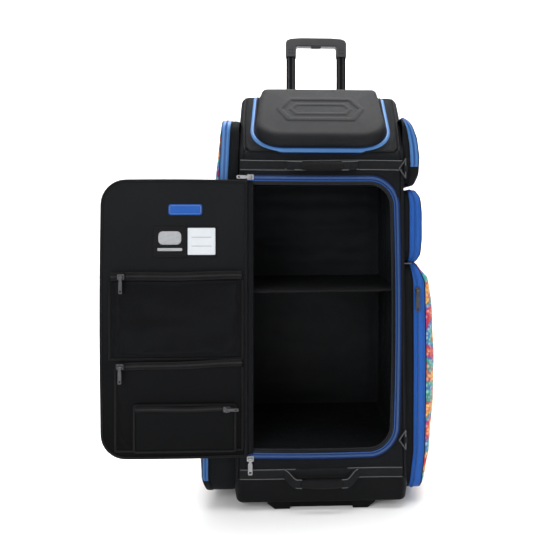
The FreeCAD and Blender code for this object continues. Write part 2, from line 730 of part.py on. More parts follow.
def slider(prefix, base, turn, pull_long, pull_wide, pull_across, with_pull=True):
    """A zip slider with its pull, made in its own frame: X along the zip, Z out of it.
    The pull lies back along -X, or along -Y when pull_across is set."""
    pull_long, half_pull = as_size(pull_long), as_size(pull_wide) * 0.5

    def area(back, across):
        """X and Y ranges from a range back along the pull and one across it."""
        return (across, back) if pull_across else (back, across)

    def pin_rod(name, radius, half):
        start = (-half, 0, s.pin_up) if pull_across else (0, -half, s.pin_up)
        return rod(name, radius, start, half * 2, "x" if pull_across else "y")

    shoe_x = (s.slider_long * -0.5, s.slider_long * 0.5)
    shoe_y = (s.slider_wide * -0.5, s.slider_wide * 0.5)
    shoe = box(f"{prefix}_shoe", shoe_x, shoe_y, (s.slider_lift, s.slider_thick))
    shoe = rounded(f"{prefix}_shoe_round", shoe, s.pull_wall, along("z"))
    pieces = [shoe, pin_rod(f"{prefix}_pin", s.pin_radius, s.cheek_far - 0.5)]
    for number, side in enumerate((-1, 1)):
        cheek = area((-s.cheek_half, s.cheek_half), span(side, s.cheek_near, s.cheek_far))
        high = (s.slider_thick - 1, s.pin_up + s.cheek_half)
        pieces.append(box(f"{prefix}_cheek_{number}", *cheek, high))

    bore_radius = s.pin_radius + s.running_gap * 2
    eye = pin_rod(f"{prefix}_eye", bore_radius + 1, s.eye_half)
    thick = (s.pin_up - s.pull_wall * 0.5, s.pin_up + s.pull_wall * 0.5)
    neck = box(f"{prefix}_neck", *area((-s.neck_long, -bore_radius - 0.2), (-s.eye_half, s.eye_half)), thick)
    tab = box(f"{prefix}_tab", *area((-pull_long, 1 - s.neck_long), (-half_pull, half_pull)), thick)
    tab = rounded(f"{prefix}_tab_round", tab, s.pull_wall, along("z"))
    slot = area((s.slot_edge - pull_long, s.neck_long - 2 - pull_long), (2 - half_pull, half_pull - 2))
    hole = box(f"{prefix}_slot", *slot, (s.pin_up - s.slot_edge, s.pin_up + s.slot_edge))
    solid_pull = fuse(f"{prefix}_pull_join", eye, neck, tab)
    if not with_pull:
        fixed_pull = cut(f"{prefix}_fixed", solid_pull, hole)
        node(f"{prefix}_slider", place(fuse(f"{prefix}_join", *pieces, fixed_pull), base, turn))
        return
    eye_bore = pin_rod(f"{prefix}_eye_bore", bore_radius, s.cheek_far)
    node(f"{prefix}_slider", place(fuse(f"{prefix}_join", *pieces), base, turn))
    node(f"{prefix}_pull", place(cut(f"{prefix}_pull_cut", solid_pull, eye_bore, hole), base, turn))


def facing_front(along_zip):
    """The turn that points a slider's Z axis forwards (-Y) and its X axis along the zip."""
    out = Vector(0, -1, 0)
    return Rotation(along_zip, out.cross(along_zip), out, "XYZ")


def sliders():
    right, upward = Vector(1, 0, 0), Vector(0, 0, 1)
    tape = s.front_face - s.zip_wall
    upper_z = s.open_high + s.zip_width * 0.6
    lower_z = s.open_low - s.zip_width * 0.9
    slider("main_top", (s.zip_left + 9, tape, upper_z), facing_front(right), 28, 7, False)
    slider("main_bottom", (s.zip_left + 9, tape, lower_z), facing_front(right), 32, 9, True)
    face = s.door_inside
    slider("door_upper", (-404, face - 10, 488), facing_front(right), 34, 7, True)
    slider("door_lower", (-406, face - 8, 307), facing_front(right), 34, 7, True)
    slider("small_pocket", (-192, face - 13.5, 221), facing_front(-right), 24, 6, False, with_pull=False)
    slider("side_pocket", (205, s.pocket_front, 452), facing_front(upward), 44, 9, False)


# ---------------------------------------------------------------- build, check and write

base_tray()
front_skid()
for label, side in SIDES:
    wheel_set(label, side)
housing_screws()
body_panels()
main_zip_tape()
inside_boards()
top_pocket()
lid_shell()
side_pockets()
webbing_and_handles()
for label, height in RING_HEIGHTS.items():
    triangle_ring(label, height)
trolley()
grip_and_button()
door()
sliders()
doc.recompute()

faults = [item.Name for item in doc.Objects if set(item.State) & {"Invalid", "Error"}]
for item in nodes:
    if item.Shape.isNull() or not item.Shape.isValid() or not item.Shape.Solids:
        faults.append(item.Label)
if faults:
    raise RuntimeError("failed objects: " + ", ".join(faults))

os.makedirs("parts", exist_ok=True)
for item in nodes:
    item.Shape.exportStep(f"parts/{item.Label}.step")
print(len(nodes), "nodes written")
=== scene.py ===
"""Looks of the rolling bowling bag: soft panels, zips, moulded lid, printed pockets and hardware.

Lengths in this script are millimetres in the CAD frame (X right, Y back, Z up) and are turned into
metres when a mesh is made.
"""
import math

import bpy
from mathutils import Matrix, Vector, noise


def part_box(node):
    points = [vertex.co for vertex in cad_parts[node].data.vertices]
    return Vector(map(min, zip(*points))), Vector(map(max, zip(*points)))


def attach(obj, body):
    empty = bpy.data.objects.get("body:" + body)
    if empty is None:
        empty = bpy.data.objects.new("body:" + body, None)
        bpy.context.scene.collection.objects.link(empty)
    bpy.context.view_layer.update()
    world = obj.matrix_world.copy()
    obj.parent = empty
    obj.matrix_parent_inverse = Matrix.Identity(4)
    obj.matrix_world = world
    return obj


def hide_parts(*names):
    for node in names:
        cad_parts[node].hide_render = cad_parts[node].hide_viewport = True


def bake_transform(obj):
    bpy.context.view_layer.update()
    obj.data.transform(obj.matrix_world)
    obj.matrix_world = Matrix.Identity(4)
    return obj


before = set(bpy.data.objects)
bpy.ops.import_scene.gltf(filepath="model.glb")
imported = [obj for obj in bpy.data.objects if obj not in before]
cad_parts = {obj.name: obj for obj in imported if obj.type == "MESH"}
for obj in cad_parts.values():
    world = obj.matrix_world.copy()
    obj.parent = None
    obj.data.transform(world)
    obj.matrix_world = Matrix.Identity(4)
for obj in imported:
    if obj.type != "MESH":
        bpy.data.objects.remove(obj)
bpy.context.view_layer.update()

MM = 0.001


# ---------------------------------------------------------------- places, from the CAD frame

class Box:
    """A CAD node's box in millimetres."""

    def __init__(self, node):
        low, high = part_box(node)
        self.x0, self.y0, self.z0 = (c / MM for c in low)
        self.x1, self.y1, self.z1 = (c / MM for c in high)


SIDE = Box("right_side_panel")
FRONT = Box("front_panel")
BOOT = Box("base_tray")
TOP = Box("top_panel")
COVER = Box("back_cover")
TAPE = Box("main_zip_tape")
SHELF = Box("shelf")
FLOOR = Box("floor_board")
CEILING = Box("ceiling_panel")
BOARD = Box("back_board")
DOOR = Box("door_binding")
DOOR_CORE = Box("door_panel")
GRIP = Box("trolley_grip")
LID = Box("lid_shell")
HOUSING = Box("wheel_housing_right")

HALF = SIDE.x1                      # outer side of the bag
FACE = FRONT.y0                     # front face
REAR = SIDE.y1                      # back face
SLOPE_Z = FRONT.z1                  # foot of the front slope
SLOPE_RUN = TOP.y0 - FACE           # its run and rise
CREST_Y, CREST_Z = TOP.y0, SLOPE_Z + SLOPE_RUN
TOP_Z = SIDE.z1
ZIP_BAND = 14                       # width of the main zip's tape
OPEN = dict(x0=FRONT.x0 + 28, x1=TAPE.x1 - ZIP_BAND, z0=TAPE.z0 + ZIP_BAND, z1=TAPE.z1 - ZIP_BAND)
OPEN_R = 50                         # corner radius on the free side of the opening


# ---------------------------------------------------------------- mesh helpers

def lerp(a, b, t):
    return a + (b - a) * t


def smooth(t):
    t = min(max(t, 0.0), 1.0)
    return t * t * (3 - 2 * t)


def hump(t):
    """0 at both ends and 1 in the middle."""
    return math.sin(math.pi * min(max(t, 0.0), 1.0))


def folds(x, y, z, size, seed=0.0):
    """Smooth noise between about -1 and 1, the same each run."""
    return noise.noise(Vector((x / size + seed, y / size - seed, z / size + 2.7 * seed)))


class Build:
    """Collects vertices and faces for one piece."""

    def __init__(self):
        self.verts = []
        self.faces = []
        self.marks = []

    def add(self, verts, faces, mark=0):
        start = len(self.verts)
        self.verts.extend(tuple(v) for v in verts)
        self.faces.extend(tuple(start + i for i in face) for face in faces)
        self.marks.extend([mark] * len(faces))
        return self

    def grid(self, point, nu, nv, close_u=False, close_v=False, mark=0, flip=False):
        """point(u, v) with u and v from 0 to 1; a closed direction doesn't repeat its first line."""
        du = nu if close_u else nu - 1
        dv = nv if close_v else nv - 1
        verts = [point(i / du, j / dv) for j in range(nv) for i in range(nu)]
        faces = []
        for j in range(dv):
            for i in range(du):
                a, b = j * nu + i, j * nu + (i + 1) % nu
                c, d = ((j + 1) % nv) * nu + (i + 1) % nu, ((j + 1) % nv) * nu + i
                faces.append((a, d, c, b) if flip else (a, b, c, d))
        return self.add(verts, faces, mark)

    def sweep(self, path, section, normal, closed=False, mark=0, capped=True):
        """Sweeps a closed section of (across, out) pairs along a path. Out is along normal, a vector or
        a list of one vector for each point of the path."""
        path = [Vector(p) for p in path]
        count, size = len(path), len(section)
        verts = []
        for i, p in enumerate(path):
            ahead = path[(i + 1) % count] if closed or i < count - 1 else p
            behind = path[i - 1] if closed or i > 0 else p
            run = (ahead - behind).normalized()
            out = Vector(normal[i] if isinstance(normal, list) else normal)
            across = run.cross(out).normalized()
            out = across.cross(run).normalized()
            verts.extend(p + across * a + out * b for a, b in section)
        faces = []
        for i in range(count if closed else count - 1):
            k = (i + 1) % count
            for j in range(size):
                n = (j + 1) % size
                faces.append((i * size + j, i * size + n, k * size + n, k * size + j))
        if capped and not closed:
            faces.append(tuple(reversed(range(size))))
            faces.append(tuple(range((count - 1) * size, count * size)))
        return self.add(verts, faces, mark)

    def loft(self, outline, rings, place, marks=None, cap=True, flip=False, first=False):
        """Closed rings joined in order: a ring is (inset, out); place(point, out) gives its 3-D points."""
        rows = [[place(p, out) for p in outline(inset)] for inset, out in rings]
        count, last = len(rows[0]), len(rows) - 1
        marks = marks or [0] * last
        faces, kinds = [], []
        for j in range(last):
            for i in range(count):
                k = (i + 1) % count
                faces.append((j * count + i, j * count + k, (j + 1) * count + k, (j + 1) * count + i))
                kinds.append(marks[j])
        if cap:
            faces.append(tuple(last * count + i for i in range(count)))
            kinds.append(marks[-1])
        if first:
            faces.append(tuple(reversed(range(count))))
            kinds.append(marks[0])
        if flip:
            faces = [face[::-1] for face in faces]
        self.add([v for row in rows for v in row], faces)
        self.marks[-len(kinds):] = kinds
        return self

    def tube(self, path, radius, closed=False, sides=8, mark=0, normal=(0.13, 0.57, 0.81)):
        ring = [(radius * math.cos(a), radius * math.sin(a)) for a in turns(sides)]
        return self.sweep(path, ring, normal, closed, mark)

    def block(self, centre, size, axes=None, mark=0, crown=0.75):
        """A small block with a crowned top: size is (along, across, out)."""
        run, across, out = axes or (Vector((1, 0, 0)), Vector((0, 1, 0)), Vector((0, 0, 1)))
        half = [c / 2 for c in size]
        verts = []
        for lift, shrink in ((-1, 1.0), (1, crown)):
            for sx, sy in ((-1, -1), (1, -1), (1, 1), (-1, 1)):
                p = Vector(centre) + run * half[0] * sx * shrink + across * half[1] * sy * shrink
                verts.append(p + out * half[2] * lift)
        faces = [(0, 3, 2, 1), (4, 5, 6, 7), (0, 1, 5, 4), (1, 2, 6, 5), (2, 3, 7, 6), (3, 0, 4, 7)]
        return self.add(verts, faces, mark)


def turns(count):
    return [2 * math.pi * i / count for i in range(count)]


def make(name, build, materials, body, slot, node=None, flat=False, thick=0.0, bevel=0.0):
    """Turns a Build into an object that rides on a body and may stand for CAD nodes."""
    mesh = bpy.data.meshes.new(name)
    mesh.from_pydata([tuple(c * MM for c in v) for v in build.verts], [], build.faces)
    mesh.polygons.foreach_set("use_smooth", [not flat] * len(mesh.polygons))
    materials = materials if isinstance(materials, (list, tuple)) else [materials]
    for material in materials:
        mesh.materials.append(material)
    mesh.polygons.foreach_set("material_index", build.marks)
    mesh.update()
    piece = bpy.data.objects.new(name, mesh)
    bpy.context.scene.collection.objects.link(piece)
    if thick:
        solid = piece.modifiers.new("thickness", "SOLIDIFY")
        solid.thickness = thick * MM
        solid.offset = -1
    if bevel:
        soften(piece, bevel)
    if body:
        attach(piece, body)
    if node:
        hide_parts(*([node] if isinstance(node, str) else node))
    return piece


def soften(piece, width):
    edge = piece.modifiers.new("edge", "BEVEL")
    edge.width = width * MM
    edge.segments = 2
    edge.limit_method = "ANGLE"
    edge.angle_limit = math.radians(35)
    edge.harden_normals = False
    return piece


SOFT = []                           # cloth waiting to be settled


def drape(piece, held, pressure, gravity, cap, stiff, bend):
    """Registers a piece for the cloth simulation. held(x, y, z) in millimetres says which points are sewn
    down, and cap is about how far the others may move."""
    SOFT.append((piece, held, pressure, gravity, cap, stiff, bend))


def settle(frames=24):
    """Runs every registered cloth at once and writes the result into the meshes."""
    scene = bpy.context.scene
    scene.frame_start, scene.frame_end = 1, frames
    for piece, held, pressure, gravity, _, stiff, bend in SOFT:
        sewn = piece.vertex_groups.new(name="sewn")
        sewn.add([v.index for v in piece.data.vertices if held(*(v.co / MM))], 1.0, "REPLACE")
        cloth = piece.modifiers.new("cloth", "CLOTH")
        cloth.settings.vertex_group_mass = "sewn"
        cloth.settings.quality = 6
        cloth.settings.mass = 0.25
        cloth.settings.tension_stiffness = stiff
        cloth.settings.compression_stiffness = stiff
        cloth.settings.shear_stiffness = stiff / 3
        cloth.settings.bending_stiffness = bend
        cloth.settings.air_damping = 6
        cloth.settings.use_pressure = True
        cloth.settings.uniform_pressure_force = pressure
        cloth.settings.effector_weights.gravity = gravity
        cloth.point_cache.frame_start, cloth.point_cache.frame_end = 1, frames
        piece.modifiers.move(len(piece.modifiers) - 1, 0)
    shown = [(m, m.show_viewport) for piece, *_ in SOFT for m in piece.modifiers if m.type != "CLOTH"]
    for modifier, _ in shown:
        modifier.show_viewport = False
    for number in range(1, frames + 1):
        scene.frame_set(number)
    graph = bpy.context.evaluated_depsgraph_get()
    for piece, _, _, _, cap, _, _ in SOFT:
        settled = [v.co.copy() for v in piece.evaluated_get(graph).data.vertices]
        for vertex, co in zip(piece.data.vertices, settled):
            move = co - vertex.co
            limit = cap * MM
            if move.length > 1e-9:
                vertex.co += move * (limit / (limit + move.length))
        piece.modifiers.remove(piece.modifiers["cloth"])
        piece.vertex_groups.clear()
        piece.data.update()
    for modifier, state in shown:
        modifier.show_viewport = state
    scene.frame_set(1)


def rounded_loop(corners, radii, step=8.0, arc=8):
    """Points of a closed 2-D polygon with rounded corners."""
    points = []
    count = len(corners)
    for i, corner in enumerate(corners):
        here = Vector(corner)
        before = (Vector(corners[i - 1]) - here).normalized()
        after = (Vector(corners[(i + 1) % count]) - here).normalized()
        radius = radii[i] if isinstance(radii, (list, tuple)) else radii
        half = math.acos(max(-1.0, min(1.0, before.dot(after)))) / 2
        reach = radius / math.tan(half)
        centre = here + (before + after).normalized() * (radius / math.sin(half))
        start, end = here + before * reach - centre, here + after * reach - centre
        sweep = math.atan2(start.x * end.y - start.y * end.x, start.dot(end))
        for k in range(arc + 1):
            a = sweep * k / arc
            cos, sin = math.cos(a), math.sin(a)
            points.append(centre + Vector((start.x * cos - start.y * sin, start.x * sin + start.y * cos)))
    return spread(points, step, True)


def oblong(x0, x1, z0, z1, radius, step=8.0, arc=8):
    """Returns a function of an inset that gives a rounded rectangle, always with the same number of points.
    Radius is one number or one for each corner: low left, low right, high right, high left."""
    radii = radius if isinstance(radius, (list, tuple)) else [radius] * 4
    corners = [(x0, z0), (x1, z0), (x1, z1), (x0, z1)]
    counts = [max(1, round(n / step)) for n in (x1 - x0, z1 - z0, x1 - x0, z1 - z0)]
    most = min(x1 - x0, z1 - z0) / 2 - 0.5

    def at(inset):
        inset = min(inset, most)
        points = []
        for i, (cx, cz) in enumerate(corners):
            r = max(radii[i] - inset, 0.3 if radii[i] < 1 else 1.5)
            inward = ((1, 1), (-1, 1), (-1, -1), (1, -1))[i]
            mx, mz = cx + inward[0] * (inset + r), cz + inward[1] * (inset + r)
            start = (180, 270, 0, 90)[i]
            for k in range(arc + 1):
                a = math.radians(start + 90 * k / arc)
                points.append(Vector((mx + r * math.cos(a), mz + r * math.sin(a))))
        out = []
        for i in range(4):
            run = points[i * (arc + 1):(i + 1) * (arc + 1)]
            out.extend(run)
            a, b = run[-1], points[((i + 1) % 4) * (arc + 1)]
            out.extend(a.lerp(b, k / counts[i]) for k in range(1, counts[i]))
        return out
    return at


def spread(points, step, closed=False):
    """Adds points so that no run is longer than step."""
    out = []
    pairs = zip(points, points[1:] + points[:1]) if closed else zip(points, points[1:])
    for a, b in pairs:
        pieces = max(1, int(math.ceil((b - a).length / step)))
        out.extend(a.lerp(b, k / pieces) for k in range(pieces))
    if not closed:
        out.append(points[-1])
    return out


def curve(points, step=6.0):
    """A smooth line through given points."""
    points = [Vector(p) for p in points]
    out = []
    for i in range(len(points) - 1):
        p0, p1, p2 = points[max(i - 1, 0)], points[i], points[i + 1]
        p3 = points[min(i + 2, len(points) - 1)]
        pieces = max(2, int((p2 - p1).length / step))
        for k in range(pieces):
            t = k / pieces
            out.append(0.5 * (2 * p1 + (p2 - p0) * t + (2 * p0 - 5 * p1 + 4 * p2 - p3) * t * t
                              + (3 * p1 - p0 - 3 * p2 + p3) * t ** 3))
    out.append(points[-1])
    return out


def lay(points, y):
    """2-D points as 3-D points on the plane at y."""
    return [Vector((p.x, y, p.y)) for p in points]


def moved(path, y, z=0):
    """A path moved back by y and up by z."""
    return [p + Vector((0, y, z)) for p in path]


def quarter(steps, first=0):
    """Angles from 0 to a right angle."""
    return [k / steps * math.pi / 2 for k in range(first, steps + 1)]


def rect_loop(x0, x1, z0, z1, radii, step, arc=8):
    """A closed rectangle with rounded corners."""
    return rounded_loop([(x0, z0), (x1, z0), (x1, z1), (x0, z1)], radii, step, arc)


def stitch(build, path, normal, pitch, long, wide, mark=0, closed=False):
    """A row of thread stitches along a path."""
    walk(path, pitch, closed, lambda p, run, k: build.block(
        p, (long, wide, 0.5), (run, run.cross(Vector(normal)).normalized(), Vector(normal)), mark, 0.6))


FRONT_OUT = (0, -1, 0)              # out of the front face
SEAM = (4.2, 2.8, 0.6)              # a row of stitches: pitch, length and width
FINE_SEAM = (4.2, 2.6, 0.5)
TOOTH = (1.5, 4.4, 1.5)             # a coarse zip's tooth, and its pitch
TOOTH_PITCH = 2.3


def walk(path, pitch, closed, visit):
    """Calls visit(point, direction, number) at every pitch along a path."""
    path = [Vector(p) for p in path]
    if closed:
        path.append(path[0])
    left, number = pitch / 2, 0
    for a, b in zip(path, path[1:]):
        run = b - a
        length = run.length
        if length < 1e-6:
            continue
        run.normalize()
        while left <= length:
            visit(a + run * left, run, number)
            left += pitch
            number += 1
        left -= length


def teeth(build, path, normal, pitch=1.9, closed=False, mark=0, wide=4.2):
    """A zip's chain: small teeth side by side."""
    def tooth(p, run, number):
        across = run.cross(Vector(normal)).normalized()
        shift = across * (0.5 if number % 2 else -0.5)
        build.block(p + shift, (pitch * 0.62, wide, 1.3), (run, across, Vector(normal)), mark, 0.7)
    walk(path, pitch, closed, tooth)


def coarse_teeth(build, line, ways, closed=False, least=0, lift=0.0, above=0.0):
    """A coarse chain on a line with its own outward direction at each point, above a height."""
    for i in range(len(line) if closed else len(line) - 1):
        a, b, out = line[i], line[(i + 1) % len(line)], ways[i]
        pieces = max(least, round((b - a).length / TOOTH_PITCH))
        if pieces and (a.z + b.z) / 2 > above:
            run = (b - a).normalized()
            axes = (run, run.cross(out).normalized(), out)
            for k in range(pieces):
                build.block(a.lerp(b, k / pieces) + out * lift, TOOTH, axes, 0, 0.7)


def domed_band(build, path, wide, normal, rise, edge, marks):
    """A coated zip along a path: a domed middle between two flat dark edges."""
    half = wide / 2
    angles = [k / 8 * math.pi for k in range(9)]
    middle = [(-half * math.cos(a), 0.6 + rise * math.sin(a) ** 0.8) for a in angles]
    build.sweep(path, [(-half, 0)] + middle + [(half, 0)], normal, False, marks[0])
    for side in (-1, 1):
        band(build, path, edge, normal, 1.0, False, marks[1], side * (half + edge / 2 - 0.3))


def band(build, path, wide, normal, thick=0.9, closed=False, mark=0, shift=0.0):
    """A flat tape along a path, wide across it."""
    half = wide / 2
    section = [
        (shift - half, 0), (shift - half, thick * 0.7), (shift - half * 0.9, thick),
        (shift + half * 0.9, thick), (shift + half, thick * 0.7), (shift + half, 0),
    ]
    return build.sweep(path, section, normal, closed, mark)


# ---------------------------------------------------------------- materials

class Material:
    """A Principled material with procedural colour, roughness and bump."""

    def __init__(self, name, roughness=0.6, metallic=0.0, gloss=0.5, coat=0.0):
        self.data = bpy.data.materials.new(name)
        self.data.use_nodes = True
        self.tree = self.data.node_tree
        self.shader = self.tree.nodes["Principled BSDF"]
        self.shader.inputs["Roughness"].default_value = roughness
        self.shader.inputs["Metallic"].default_value = metallic
        self.shader.inputs["Specular IOR Level"].default_value = gloss
        self.shader.inputs["Coat Weight"].default_value = coat
        self.coords = self.node("ShaderNodeTexCoord").outputs["Object"]
        self.height = None

    def node(self, kind, **settings):
        made = self.tree.nodes.new(kind)
        for key, value in settings.items():
            setattr(made, key, value)
        return made

    def feed(self, target, value):
        """Sets a socket to a number, a colour or another socket."""
        if isinstance(value, bpy.types.NodeSocket):
            self.tree.links.new(value, target)
        elif value is not None:
            target.default_value = value

    def math(self, operation, a, b=None, c=None):
        made = self.node("ShaderNodeMath", operation=operation)
        for target, value in zip(made.inputs, (a, b, c)):
            self.feed(target, value)
        return made.outputs[0]

    def scaled(self, stretch=(1, 1, 1), turn=(0, 0, 0)):
        made = self.node("ShaderNodeMapping")
        self.feed(made.inputs["Vector"], self.coords)
        made.inputs["Scale"].default_value = stretch
        made.inputs["Rotation"].default_value = turn
        return made.outputs[0]

    def noise(self, size_mm, detail=3.0, stretch=(1, 1, 1), rough=0.5):
        made = self.node("ShaderNodeTexNoise")
        self.feed(made.inputs["Vector"], self.scaled(stretch))
        made.inputs["Scale"].default_value = 1 / (size_mm * MM)
        made.inputs["Detail"].default_value = detail
        made.inputs["Roughness"].default_value = rough
        return made.outputs["Fac"]

    def cells(self, size_mm, feature="F1", output="Distance", stretch=(1, 1, 1), jitter=1.0, vector=None):
        made = self.node("ShaderNodeTexVoronoi", feature=feature)
        self.feed(made.inputs["Vector"], vector or self.scaled(stretch))
        made.inputs["Scale"].default_value = 1 / (size_mm * MM)
        made.inputs["Randomness"].default_value = jitter
        return made.outputs[output]

    def weave(self, pitch_mm, turn=(0, 0, 0)):
        """Crossed threads on every face that lies square to an axis."""
        parts = self.node("ShaderNodeSeparateXYZ")
        self.feed(parts.inputs[0], self.scaled(turn=turn))
        rate = 2 * math.pi / (pitch_mm * MM)
        waves = [self.math("SINE", self.math("MULTIPLY", axis, rate)) for axis in parts.outputs]
        pairs = [self.math("MULTIPLY", waves[i], waves[(i + 1) % 3]) for i in range(3)]
        return self.math("ADD", self.math("ADD", pairs[0], pairs[1]), pairs[2])

    def ribs(self, pitch_mm, axis=0):
        """Ribs square to one axis."""
        parts = self.node("ShaderNodeSeparateXYZ")
        self.feed(parts.inputs[0], self.coords)
        return self.math("SINE", self.math("MULTIPLY", parts.outputs[axis], 2 * math.pi / (pitch_mm * MM)))

    def ramp(self, value, stops, flat=False):
        """A colour ramp: stops are (place, colour)."""
        made = self.node("ShaderNodeValToRGB")
        self.feed(made.inputs[0], value)
        ramp = made.color_ramp
        ramp.interpolation = "CONSTANT" if flat else "LINEAR"
        while len(ramp.elements) < len(stops):
            ramp.elements.new(1.0)
        for element, (place, colour) in zip(ramp.elements, stops):
            element.position = place
            element.color = (*colour, 1)
        return made.outputs[0]

    def mix(self, amount, a, b, blend="MIX"):
        made = self.node("ShaderNodeMix", data_type="RGBA", blend_type=blend)
        self.feed(made.inputs["Factor"], amount)
        for target, value in ((made.inputs[6], a), (made.inputs[7], b)):
            self.feed(target, value if isinstance(value, bpy.types.NodeSocket) else (*value, 1))
        return made.outputs[2]

    def colour(self, value):
        target = self.shader.inputs["Base Color"]
        self.feed(target, value if isinstance(value, bpy.types.NodeSocket) else (*value, 1))
        return self

    def rough(self, value, low, high):
        made = self.node("ShaderNodeMapRange")
        self.feed(made.inputs["Value"], value)
        made.inputs["To Min"].default_value = low
        made.inputs["To Max"].default_value = high
        self.feed(self.shader.inputs["Roughness"], made.outputs[0])
        return self

    def bump(self, height, depth_mm, strength=1.0):
        """Adds one layer of bump over the earlier ones."""
        made = self.node("ShaderNodeBump")
        made.inputs["Strength"].default_value = strength
        made.inputs["Distance"].default_value = depth_mm * MM
        self.feed(made.inputs["Height"], height)
        if self.height is not None:
            self.feed(made.inputs["Normal"], self.height)
        self.height = made.outputs[0]
        self.feed(self.shader.inputs["Normal"], self.height)
        return self


def woven(name, dark, light, pitch, roughness=0.7, gloss=0.12, patch=60, depth=0.12, wear=0.4, foot=1.0):
    """Woven cloth: crossed threads, a slow random change of tone and soft creases. Foot is painted shade: the
    colour darkens towards the bottom, to foot times itself at 0.14 m, and is full above 0.62 m.
    """
    m = Material(name, roughness, gloss=gloss)
    threads = m.weave(pitch)
    slow = m.noise(patch, 4)
    shade = m.mix(slow, dark, light)
    lift = m.math("MULTIPLY_ADD", threads, 0.14, 0.3)
    cloth = m.mix(lift, shade, tuple(c * 1.4 for c in light))
    # Painted shade: below 0.62 m the colour is darkened, down to foot times itself at 0.14 m and lower.
    if foot < 1:
        parts = m.node("ShaderNodeSeparateXYZ")
        m.feed(parts.inputs[0], m.coords)
        height = m.node("ShaderNodeMapRange")
        m.feed(height.inputs["Value"], parts.outputs[2])
        height.inputs["From Min"].default_value, height.inputs["From Max"].default_value = 0.14, 0.62
        height.inputs["To Min"].default_value = foot
        cloth = m.mix(height.outputs[0], (0, 0, 0), cloth)
    m.colour(cloth)
    m.rough(m.noise(9, 3), roughness - 0.08, roughness + 0.1)
    m.bump(threads, depth)
    m.bump(m.noise(26, 3), 1.2, wear)
    return m.data


def lid_cloth():
    m = Material("lid_cloth", 0.55, gloss=0.15)
    fine = m.weave(0.9, (0, 0, math.radians(45)))
    m.colour(m.mix(m.noise(40, 3), (0.0070, 0.0074, 0.0084), (0.0115, 0.0120, 0.0135)))
    m.rough(m.noise(5, 2), 0.54, 0.7)
    m.bump(fine, 0.08)
    m.bump(m.noise(3, 2), 0.12, 0.6)
    return m.data


def vinyl():
    m = Material("boot_vinyl", 0.5, gloss=0.08)
    grain = m.cells(1.7, "DISTANCE_TO_EDGE")
    m.colour(m.mix(m.noise(30, 4), (0.0018, 0.0020, 0.0023), (0.0042, 0.0046, 0.0052)))
    m.rough(m.noise(12, 4), 0.36, 0.56)
    m.bump(grain, 0.25)
    m.bump(m.noise(22, 4), 1.0, 0.5)
    return m.data


def blue_tape():
    m = Material("blue_tape", 0.55, gloss=0.2)
    twill = m.weave(1.1, (0, math.radians(30), 0))
    shade = m.mix(m.noise(14, 3), (0.010, 0.090, 0.39), (0.018, 0.125, 0.49))
    m.colour(m.mix(m.math("MULTIPLY_ADD", twill, 0.12, 0.4), shade, (0.008, 0.050, 0.24)))
    m.bump(twill, 0.12)
    return m.data


def coated(name, dark, light, roughness, coat):
    """Zip cloth under a smooth coating."""
    m = Material(name, roughness, gloss=0.4, coat=coat)
    m.colour(m.mix(m.noise(16, 3), dark, light))
    m.rough(m.noise(5, 3), roughness - 0.07, roughness + 0.08)
    m.bump(m.noise(4, 3), 0.15, 0.5)
    return m.data


def blue_teeth():
    m = Material("blue_teeth", 0.35, gloss=0.4)
    m.colour(m.mix(m.noise(4, 2), (0.012, 0.062, 0.24), (0.022, 0.10, 0.34)))
    m.rough(m.noise(2, 2), 0.28, 0.45)
    return m.data


def pocket_print():
    """Bright mosaic of small rounded tiles whose colour drifts in soft clouds, as on tie-dyed cloth."""
    m = Material("pocket_print", 0.5, gloss=0.25)
    palette = [
        (0.0, (0.50, 0.016, 0.02)), (0.12, (0.60, 0.08, 0.012)), (0.23, (0.66, 0.25, 0.03)),
        (0.33, (0.66, 0.43, 0.10)), (0.42, (0.55, 0.03, 0.035)), (0.53, (0.015, 0.26, 0.22)),
        (0.63, (0.03, 0.38, 0.26)), (0.73, (0.03, 0.19, 0.44)), (0.83, (0.06, 0.06, 0.30)),
        (0.91, (0.38, 0.025, 0.12)),
    ]
    cloud = m.noise(90, 1.5, (0.8, 0.8, 1.5), 0.4)
    tile = m.cells(8.5, "F1", "Color")
    parts = m.node("ShaderNodeSeparateColor")
    m.feed(parts.inputs[0], tile)
    spread_out = m.math("MULTIPLY_ADD", cloud, 3.4, -1.2)
    pick = m.math("FRACT", m.math("MULTIPLY_ADD", parts.outputs[0], 0.16, spread_out))
    colours = m.ramp(pick, palette)
    near = m.cells(8.5)
    core = m.ramp(near, [(0.0, (1, 1, 1)), (0.30, (0.55, 0.55, 0.55)), (0.52, (0, 0, 0))])
    pale = m.mix(0.42, colours, (0.86, 0.80, 0.70))
    edge = m.cells(8.5, "DISTANCE_TO_EDGE")
    line = m.ramp(edge, [(0.0, (0, 0, 0)), (0.09, (1, 1, 1))])
    deep = m.mix(0.45, colours, (0.05, 0.02, 0.06))
    m.colour(m.mix(line, deep, m.mix(core, colours, pale)))
    m.bump(m.weave(0.9), 0.08)
    return m.data


def webbing_cloth():
    m = Material("webbing_cloth", 0.6, gloss=0.1)
    m.colour(m.mix(m.noise(10, 3), (0.0065, 0.007, 0.0078), (0.012, 0.013, 0.0142)))
    m.bump(m.ribs(2.2, 0), 0.3)
    m.bump(m.ribs(1.1, 2), 0.12)
    return m.data


def grey_line():
    m = Material("grey_line", 0.55, gloss=0.2)
    m.colour(m.mix(m.noise(3, 2), (0.075, 0.078, 0.08), (0.14, 0.145, 0.15)))
    m.bump(m.ribs(1.4, 0), 0.2)
    return m.data


def mesh_cloth():
    """Fine pocket mesh over a dark lining."""
    m = Material("mesh_cloth", 0.6, gloss=0.045)
    holes = m.cells(2.2, "F1", "Distance", jitter=0.25)
    m.colour(m.mix(m.math("GREATER_THAN", holes, 0.42), (0.002, 0.002, 0.0024), (0.0048, 0.0052, 0.0060)))
    m.bump(holes, 0.3, 0.8)
    m.bump(m.noise(30, 3), 1.5, 0.4)
    return m.data


